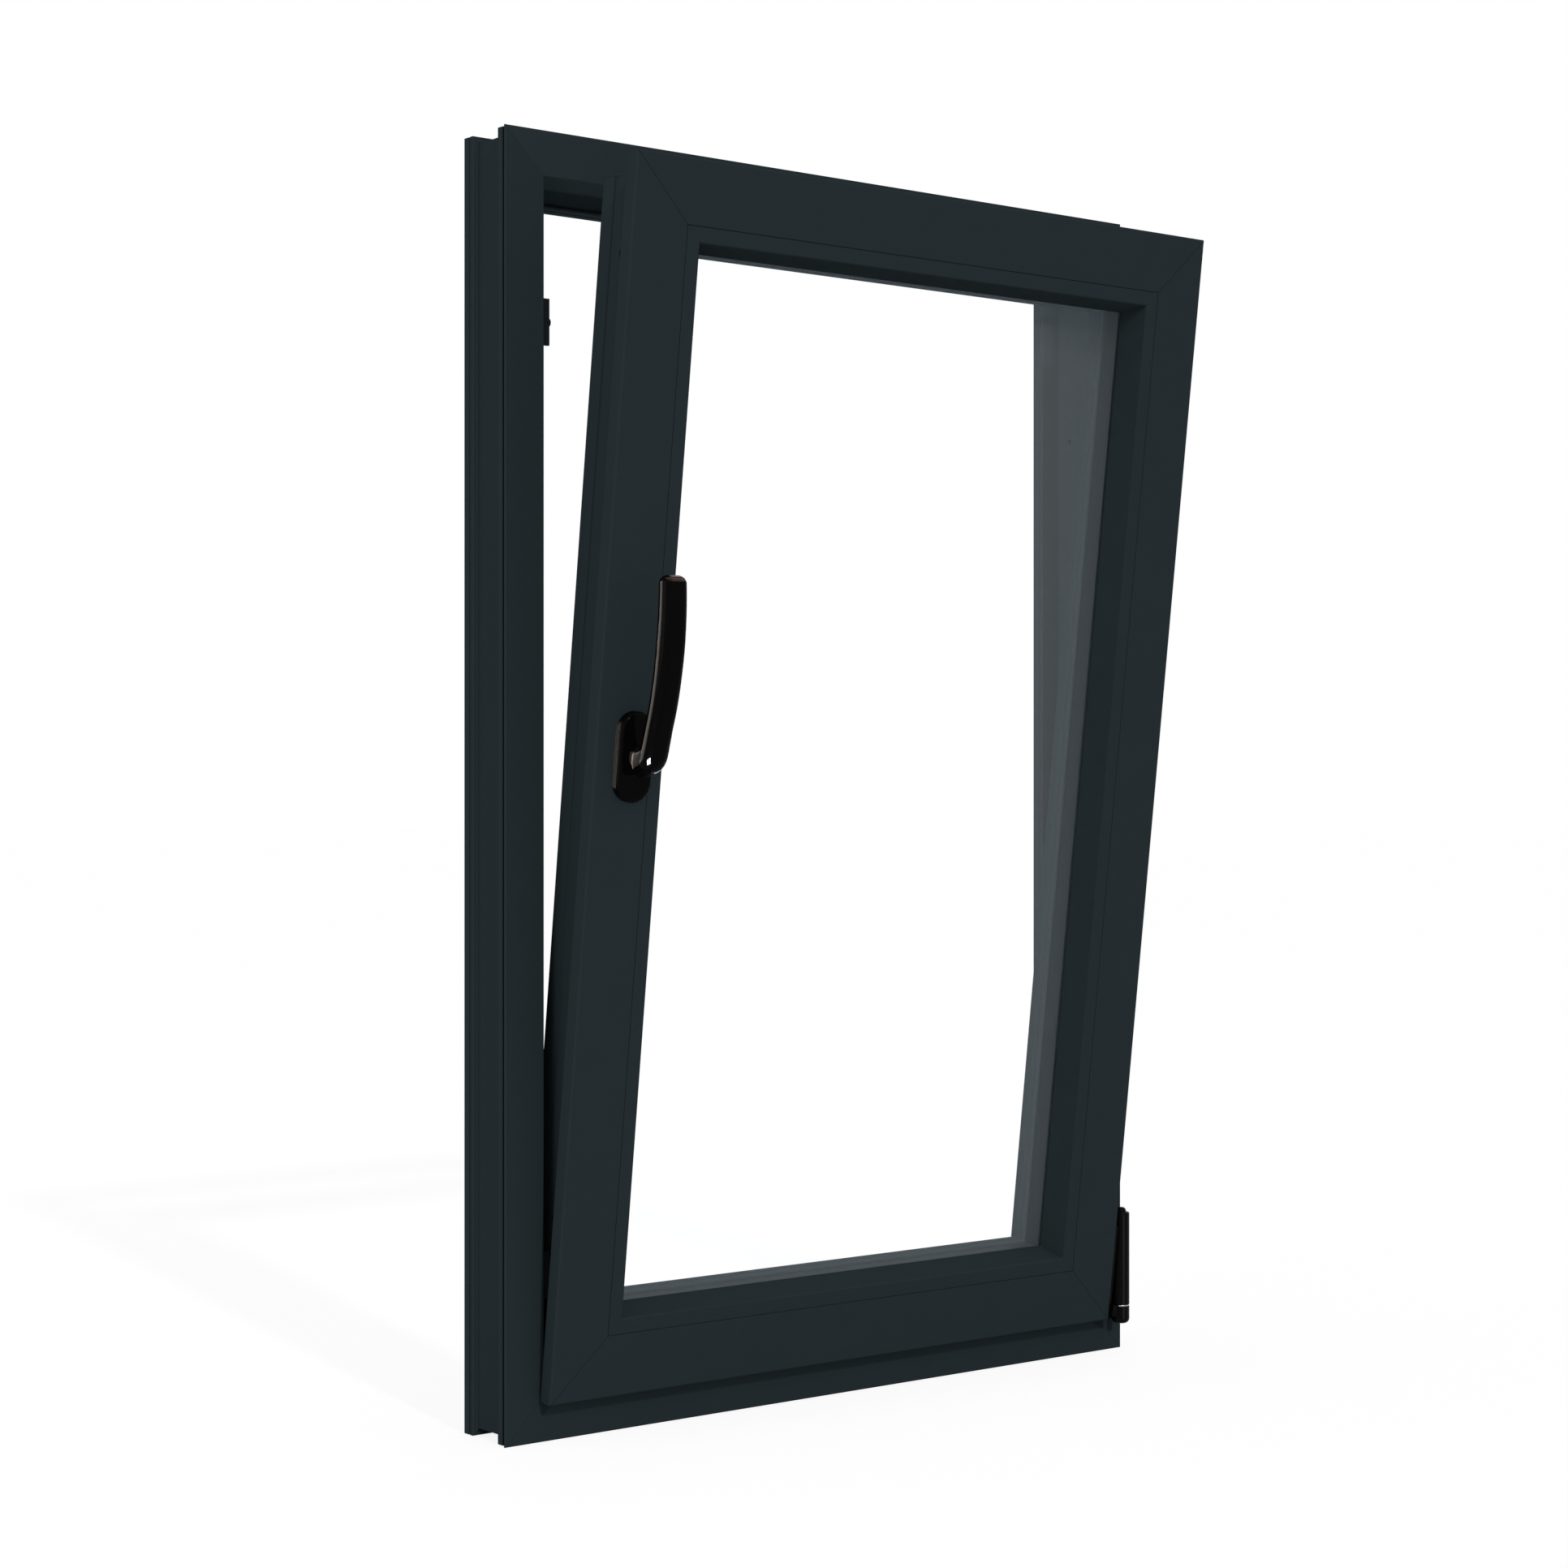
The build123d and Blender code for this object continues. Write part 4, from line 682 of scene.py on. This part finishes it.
@dataclass
class SubAssembly:
    """CAD nodes that are dressed together."""

    title: str
    nodes: tuple[str, ...]
    own_finish: dict[str, str] = field(default_factory=dict)

    def dress(self, frame: dict) -> None:
        """Gives each node its own finish, or else the finish of its material slot.
        """
        for name in self.nodes:
            piece = frame["nodes"][name]
            finish = FINISHES[self.own_finish.get(name, piece.data.materials[0].name)]
            piece.data.materials.clear()
            piece.data.materials.append(finish.material())
            LOG.info("%s: %s wears %s", self.title, name, finish.name)


def side_names(stem: str, sides: Sequence[str]) -> tuple[str, ...]:
    """The node names of a piece that is repeated on several sides."""
    return tuple(stem + side for side in sides)


FRAME_RUNS = ("sill", "head", "jamb_left", "jamb_right")
SASH_RUNS = ("bottom_rail", "top_rail", "handle_stile", "hinge_stile")
BEAD_RUNS = ("bottom", "top", "left", "right")


def ring_box() -> tuple[Vector, Vector]:
    """The box of the four frame lengths, whose mitre planes the sash shares.

    Returns:
        Its lowest and its highest corner.
    """
    boxes = [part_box(name) for name in side_names("frame_", FRAME_RUNS)]
    low = Vector([min(box[0][axis] for box in boxes) for axis in range(3)])
    high = Vector([max(box[1][axis] for box in boxes) for axis in range(3)])
    return low, high


@dataclass
class OuterFrame(SubAssembly):
    """The fixed frame with its steels, drain caps, keeps and seal."""

    title: str = "outer frame"
    nodes: tuple[str, ...] = (side_names("frame_", FRAME_RUNS) + side_names("frame_steel_", FRAME_RUNS)
                              + ("frame_seal", "drain_caps", "keep_upper", "keep_lower", "keep_head",
                                 "keep_tilt", "frame_screws"))
    own_finish: dict[str, str] = field(default_factory=lambda: dict.fromkeys(
        ("keep_upper", "keep_lower", "keep_head", "keep_tilt"), "keep_metal"))
    seam: MitreSeam = MitreSeam(0.00008)
    seal: Gasket = field(default_factory=lambda: Gasket("frame_seal", "frame", 0.004))
    groove: tuple[float, float] = (0.002, 0.0055)
    groove_depth: float = 0.0045
    groove_slack: float = 1e-5

    def build(self, frame: dict) -> None:
        """Dresses the frame, cuts its mitre seams, paints shade into its front groove and sweeps its seal.
        """
        self.dress(frame)
        low, high = ring_box()
        for name in side_names("frame_", FRAME_RUNS):
            self.seam.add(frame["nodes"][name], low, high, Matrix.Identity(4))
            self.paint_groove_shade(frame["nodes"][name].data, low, high)
        self.seal.build(frame["nodes"][self.seal.node], Matrix.Identity(4))

    def paint_groove_shade(self, data: bpy.types.Mesh, low: Vector, high: Vector) -> None:
        """Paints shade on the faces inside the groove behind the front fin: a dark finish that stands in
        for the shade that falls there.

        Args:
            data: The mesh of a frame length.
            low: The lowest corner of the frame's box.
            high: The highest corner of the frame's box.
        """
        # Painted shade: the groove's inner faces get the dark finish in place of the shade that falls
        # there
        data.materials.append(FINISHES["groove"].material())
        slot = len(data.materials) - 1
        start, end = self.groove[0] - self.groove_slack, self.groove[1] + self.groove_slack
        for face in data.polygons:
            inward = min(face.center.x - low.x, high.x - face.center.x,
                         face.center.z - low.z, high.z - face.center.z)
            if start < face.center.y - low.y < end and inward < self.groove_depth + self.groove_slack:
                face.material_index = slot


@dataclass
class Sash(SubAssembly):
    """The opening sash with its steels, beads and seals."""

    title: str = "sash"
    nodes: tuple[str, ...] = (side_names("sash_", SASH_RUNS) + side_names("sash_steel_", SASH_RUNS)
                              + side_names("bead_", BEAD_RUNS)
                              + ("glazing_seal_inner", "glazing_seal_outer", "flange_seal"))
    seam: MitreSeam = MitreSeam(0.00022)
    bead_seam: MitreSeam = MitreSeam(0.00006)
    glazing_seal_width: float = 0.0045
    flange_seal_width: float = 0.003
    stay_play: float = 0.0003

    def build(self, frame: dict, lean: SashLean) -> None:
        """Dresses the sash, cuts its mitre seams and sweeps its three seals.

        Args:
            lean: The sash's lean at rest.
        """
        self.dress(frame)
        low, high = ring_box()
        for name in side_names("sash_", SASH_RUNS):
            self.seam.add(frame["nodes"][name], low, high, lean.matrix())
        for name in side_names("bead_", BEAD_RUNS):
            self.bead_seam.add(frame["nodes"][name], low, high, lean.matrix())
        seals = (Gasket("glazing_seal_inner", "sash", self.glazing_seal_width, towards_room=False),
                 Gasket("glazing_seal_outer", "sash", self.glazing_seal_width),
                 Gasket("flange_seal", "sash", self.flange_seal_width, towards_room=False))
        for seal in seals:
            gap = self.stay_gap(frame, lean) if seal.node == "flange_seal" else None
            seal.build(frame["nodes"][seal.node], lean.matrix(), gap)

    def stay_gap(self, frame: dict, lean: SashLean) -> tuple[float, float]:
        """The heights between which the flange seal stops to let the stay arm pass.

        Args:
            lean: The sash's lean at rest.

        Returns:
            The lower and the upper height, in the closed pose.
        """
        back = lean.matrix().inverted()
        ring = [back @ vertex.co for vertex in frame["nodes"]["flange_seal"].data.vertices]
        right = max(point.x for point in ring)
        top, bottom = max(point.z for point in ring), min(point.z for point in ring)
        margin = self.flange_seal_width + self.stay_play
        run = [point.z for point in ring if right - point.x < margin]
        ends = sorted(z for z in run if bottom + margin < z < top - margin)
        return ends[0], ends[-1]


@dataclass
class Glazing(SubAssembly):
    """The double-glazed unit and the blocks that carry it."""

    title: str = "glazing"
    nodes: tuple[str, ...] = ("pane_inner", "pane_outer", "edge_sealant", "spacer_bar", "setting_blocks")


@dataclass
class Hinge(SubAssembly):
    """The corner hinge and the stay at the top."""

    title: str = "hinge"
    nodes: tuple[str, ...] = ("corner_bearing", "stay_bearing", "stay_pin", "stay_cap", "pivot_knuckle",
                              "hinge_cover", "stay_arm", "stay_guide", "hinge_leaf", "hinge_leaf_screws")
    washer_radius: float = 0.0088
    washer_wall: float = 0.0008
    washer_height: float = 0.0018
    washer_below_cover: float = 0.0019
    washer_points: int = 8
    washer_steps: int = 64

    def build(self, frame: dict, axis: Sequence[float]) -> None:
        """Dresses the hinge and lays the bright washer between its cup and its barrel.

        Args:
            axis: The turning axis along X and Y.
        """
        self.dress(frame)
        centre = Vector((*axis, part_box("hinge_cover")[0].z - self.washer_below_cover))
        stations = []
        for step in range(self.washer_steps):
            spin = Matrix.Rotation(math.tau * step / self.washer_steps, 3, "Z")
            stations.append([centre + spin @ point for point in self.washer_section()])
        washer = sweep("bearing_washer", stations, closed=True)
        washer.data.materials.append(FINISHES["hardware_steel"].material())
        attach(washer, "pivot")
        LOG.info("hinge: %s", washer.name)

    def washer_section(self) -> list[Vector]:
        """The washer's rounded profile at one side of its axis.

        Returns:
            The profile's points in order.
        """
        points = []
        for index in range(self.washer_points):
            turn = math.tau * (index + 0.5) / self.washer_points
            points.append(Vector((self.washer_radius + self.washer_wall / 2 * (math.cos(turn) - 1), 0.0,
                                  self.washer_height / 2 * (1 + math.sin(turn)))))
        return points


@dataclass
class DriveGear(SubAssembly):
    """The gear in the sash's hardware groove."""

    title: str = "drive gear"
    nodes: tuple[str, ...] = ("gearbox", "faceplate_side", "faceplate_top", "faceplate_bottom",
                              "corner_drive_bottom", "corner_drive_top", "drive_hub", "drive_rod_side",
                              "drive_rod_top", "drive_rod_bottom")


@dataclass
class Handle(SubAssembly):
    """The lever, its rose and what lies under them."""

    title: str = "handle"
    nodes: tuple[str, ...] = ("rose_base", "handle_screws", "rose_cover", "handle_lever", "handle_spindle")


# Studio


@dataclass
class Lamp:
    """One soft lamp: a panel with a size in metres, or a sun with a width in radians.

    A lamp with lit nodes gives only those a gleam, and lights their matt colour only where it is told to.
    Nodes that it passes throw no shadow in its light.
    """

    name: str
    place: tuple[float, float, float]
    aim: tuple[float, float, float]
    size: float
    power: float
    kind: LampKind = LampKind.PANEL
    colour: tuple[float, float, float] = (255, 255, 255)
    lit: tuple[str, ...] = ()
    passes: tuple[str, ...] = ()
    matt: bool = False

    def build(self) -> None:
        """Hangs the lamp, turns it to its aim and links it to its nodes."""
        data = bpy.data.lights.new(self.name, self.kind.value)
        if self.kind is LampKind.SUN:
            data.angle = self.size
        else:
            data.size = self.size
        data.energy = self.power
        data.color = linear(self.colour)[:3]
        lamp = bpy.data.objects.new(self.name, data)
        lamp.location = self.place
        lamp.rotation_euler = (Vector(self.aim) - Vector(self.place)).to_track_quat("-Z", "Y").to_euler()
        lamp.visible_camera = False
        bpy.context.collection.objects.link(lamp)
        if self.lit:
            lamp.visible_diffuse = self.matt
            lamp.light_linking.receiver_collection = self.collect(self.lit)
            lamp.light_linking.blocker_collection = self.collect(self.lit)
        if self.passes:
            clear = self.collect(self.passes)
            for entry in clear.collection_objects:
                entry.light_linking.link_state = "EXCLUDE"
            lamp.light_linking.blocker_collection = clear
        LOG.info("lamp %s", self.name)

    def collect(self, names: Sequence[str]) -> bpy.types.Collection:
        """Puts objects in a collection of the lamp's own.

        Args:
            names: Which objects are wanted.

        Returns:
            The collection.
        """
        group = bpy.data.collections.new(self.name + "_nodes")
        for name in names:
            group.objects.link(bpy.data.objects[name])
        return group


# What several lamps share: places, aims, and the dark fittings that throw no shadow in the suns' light
SUN_PLACE = (-0.57, -3.27, 2.84)
SUN_WIDTH = math.radians(2.5)
RIM_PLACE = (-1.22, 0.9, 0.74)
WINDOW_MIDDLE = (0.0, 0.0, 0.6)
ROSE_TOP = (-0.3, -0.13, 0.62)
DARK_FITTINGS = ("handle_lever", "rose_cover", "hinge_cover", "corner_bearing")


@dataclass
class Studio:
    """A pale floor, even soft light and the camera at the photograph's place."""

    camera_place: tuple[float, float, float] = (-1.7321, -2.1796, 0.5672)
    camera_heading: float = math.radians(-37.863)
    sensor: float = 36.0
    lens: float = 67.18
    floor_half: float = 30.0
    floor_drop: float = 0.0002
    floor_colour: tuple[float, float, float] = (203, 203, 203)
    floor_glow_share: float = 0.8
    floor_glow: float = 1.1
    ambient: float = 0.7
    lamps: tuple[Lamp, ...] = (
        Lamp("sun", SUN_PLACE, WINDOW_MIDDLE, SUN_WIDTH, 0.85, LampKind.SUN, passes=DARK_FITTINGS),
        Lamp("soft_sun", SUN_PLACE, WINDOW_MIDDLE, SUN_WIDTH, 0.6, LampKind.SUN,
             passes=DARK_FITTINGS + ("sash_bottom_rail", "flange_seal_rubber")),
        Lamp("head_lift", (-0.25, -0.3, 0.35), (-0.25, 0.005, 1.1), 0.7, 3.0,
             lit=("frame_head", "frame_seal_rubber"), matt=True),
        Lamp("fill", (-4.4, -0.4, 1.3), WINDOW_MIDDLE, 3.0, 62.0),
        Lamp("rose_rim", RIM_PLACE, ROSE_TOP, 1.2, 2200.0, colour=(255, 238, 222), lit=("rose_cover",)),
        Lamp("lever_rim", RIM_PLACE, ROSE_TOP, 1.2, 95.0, colour=(255, 244, 232), lit=("handle_lever",)),
        Lamp("lever_glint", (-0.75, -0.37, 0.08), (-0.3, -0.17, 0.59), 0.3, 400.0, lit=("handle_lever",)),
        Lamp("neck_gleam", (-0.3145, -0.1385, 0.588), (-0.3, -0.159, 0.588), 0.018, 0.0035,
             colour=(255, 240, 226), lit=("handle_lever",)),
        Lamp("tip_gleam", (0.065, -0.352, 1.87), (-0.3, -0.19, 0.74), 2.2, 200.0, colour=(255, 222, 204),
             lit=("handle_lever",)),
        Lamp("hinge_gleam", (0.3, -2.2, -0.25), (0.35, -0.06, 0.1), 0.3, 14.0,
             lit=("hinge_cover", "corner_bearing")),
        Lamp("lever_under", (0.09, 0.63, -0.37), (-0.3, -0.15, 0.59), 1.3, 130.0, colour=(200, 214, 255),
             lit=("handle_lever", "rose_cover")),
    )

    def build(self, lowest: float) -> None:
        """Builds the studio.

        Args:
            lowest: The height of the object's lowest point.
        """
        scene = bpy.context.scene
        scene.view_settings.view_transform = "Standard"
        self.light_world(scene)
        self.lay_floor(lowest - self.floor_drop)
        for lamp in self.lamps:
            lamp.build()
        self.place_camera(scene)

    @staticmethod
    def seen_rays(tree: bpy.types.NodeTree) -> bpy.types.NodeSocket:
        """Adds the test for rays that show the background: straight, mirrored or through glass.

        Args:
            tree: The material's or the world's nodes.

        Returns:
            The socket that is 1 for such a ray.
        """
        rays = tree.nodes.new("ShaderNodeLightPath")
        mirrored = tree.nodes.new("ShaderNodeMath")
        mirrored.operation = "MAXIMUM"
        seen = tree.nodes.new("ShaderNodeMath")
        seen.operation = "MAXIMUM"
        tree.links.new(rays.outputs["Is Glossy Ray"], mirrored.inputs[0])
        tree.links.new(rays.outputs["Is Transmission Ray"], mirrored.inputs[1])
        tree.links.new(rays.outputs["Is Camera Ray"], seen.inputs[0])
        tree.links.new(mirrored.outputs[0], seen.inputs[1])
        return seen.outputs[0]

    def light_world(self, scene: bpy.types.Scene) -> None:
        """Surrounds the object with even white light and a white background.

        Args:
            scene: The scene.
        """
        world = bpy.data.worlds.new("studio")
        scene.world = world
        world.use_nodes = True
        tree = world.node_tree
        light = tree.nodes["Background"]
        light.inputs["Color"].default_value = WHITE
        light.inputs["Strength"].default_value = self.ambient
        backdrop = tree.nodes.new("ShaderNodeBackground")
        backdrop.inputs["Color"].default_value = WHITE
        choice = tree.nodes.new("ShaderNodeMixShader")
        tree.links.new(self.seen_rays(tree), choice.inputs["Fac"])
        tree.links.new(light.outputs[0], choice.inputs[1])
        tree.links.new(backdrop.outputs[0], choice.inputs[2])
        tree.links.new(choice.outputs[0], tree.nodes["World Output"].inputs["Surface"])

    def lay_floor(self, height: float) -> None:
        """Lays the floor: white to the eye, with the object's shadow still on it.

        Args:
            height: The floor's height.
        """
        half = self.floor_half
        data = bpy.data.meshes.new("floor")
        data.from_pydata([(-half, -half, height), (half, -half, height), (half, half, height),
                          (-half, half, height)], [], [(0, 1, 2, 3)])
        floor = bpy.data.objects.new("floor", data)
        bpy.context.collection.objects.link(floor)
        material = bpy.data.materials.new("pale_floor")
        material.use_nodes = True
        tree = material.node_tree
        shader = tree.nodes["Principled BSDF"]
        shader.inputs["Base Color"].default_value = linear(self.floor_colour)
        shader.inputs["Roughness"].default_value = 1.0
        shader.inputs["Specular IOR Level"].default_value = 0.0
        glow = tree.nodes.new("ShaderNodeEmission")
        glow.inputs["Color"].default_value = WHITE
        glow.inputs["Strength"].default_value = self.floor_glow
        share = tree.nodes.new("ShaderNodeMath")
        share.operation = "MULTIPLY"
        share.inputs[1].default_value = self.floor_glow_share
        choice = tree.nodes.new("ShaderNodeMixShader")
        tree.links.new(self.seen_rays(tree), share.inputs[0])
        tree.links.new(share.outputs[0], choice.inputs["Fac"])
        tree.links.new(shader.outputs[0], choice.inputs[1])
        tree.links.new(glow.outputs[0], choice.inputs[2])
        tree.links.new(choice.outputs[0], tree.nodes["Material Output"].inputs["Surface"])
        data.materials.append(material)
        floor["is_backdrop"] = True

    def place_camera(self, scene: bpy.types.Scene) -> None:
        """Sets the camera up, level and at the photograph's place.

        Args:
            scene: The scene.
        """
        data = bpy.data.cameras.new("camera")
        data.sensor_width = self.sensor
        data.lens = self.lens
        camera = bpy.data.objects.new("camera", data)
        camera.location = self.camera_place
        camera.rotation_euler = Euler((math.pi / 2, 0.0, self.camera_heading))
        bpy.context.collection.objects.link(camera)
        scene.camera = camera


def clear_scene() -> None:
    """Removes what Blender starts with."""
    for thing in list(bpy.data.objects):
        bpy.data.objects.remove(thing, do_unlink=True)


def main() -> None:
    """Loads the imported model, dresses it and sets it in the studio."""
    logging.basicConfig(level=logging.INFO, format="%(name)s: %(message)s")
    clear_scene()
    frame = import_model()
    cad_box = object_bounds()
    joints = frame["record"]["behaviour"]["joints"]
    lean = SashLean.from_joints(joints)
    turn_axis = next(joint["pos_m"][:2] for joint in joints if joint["name"] == "sash_turn")
    OuterFrame().build(frame)
    Sash().build(frame, lean)
    Hinge().build(frame, turn_axis)
    for assembly in (Glazing(), DriveGear(), Handle()):
        assembly.dress(frame)
    Studio().build(cad_box[0].z)


if __name__ == "__main__":
    main()
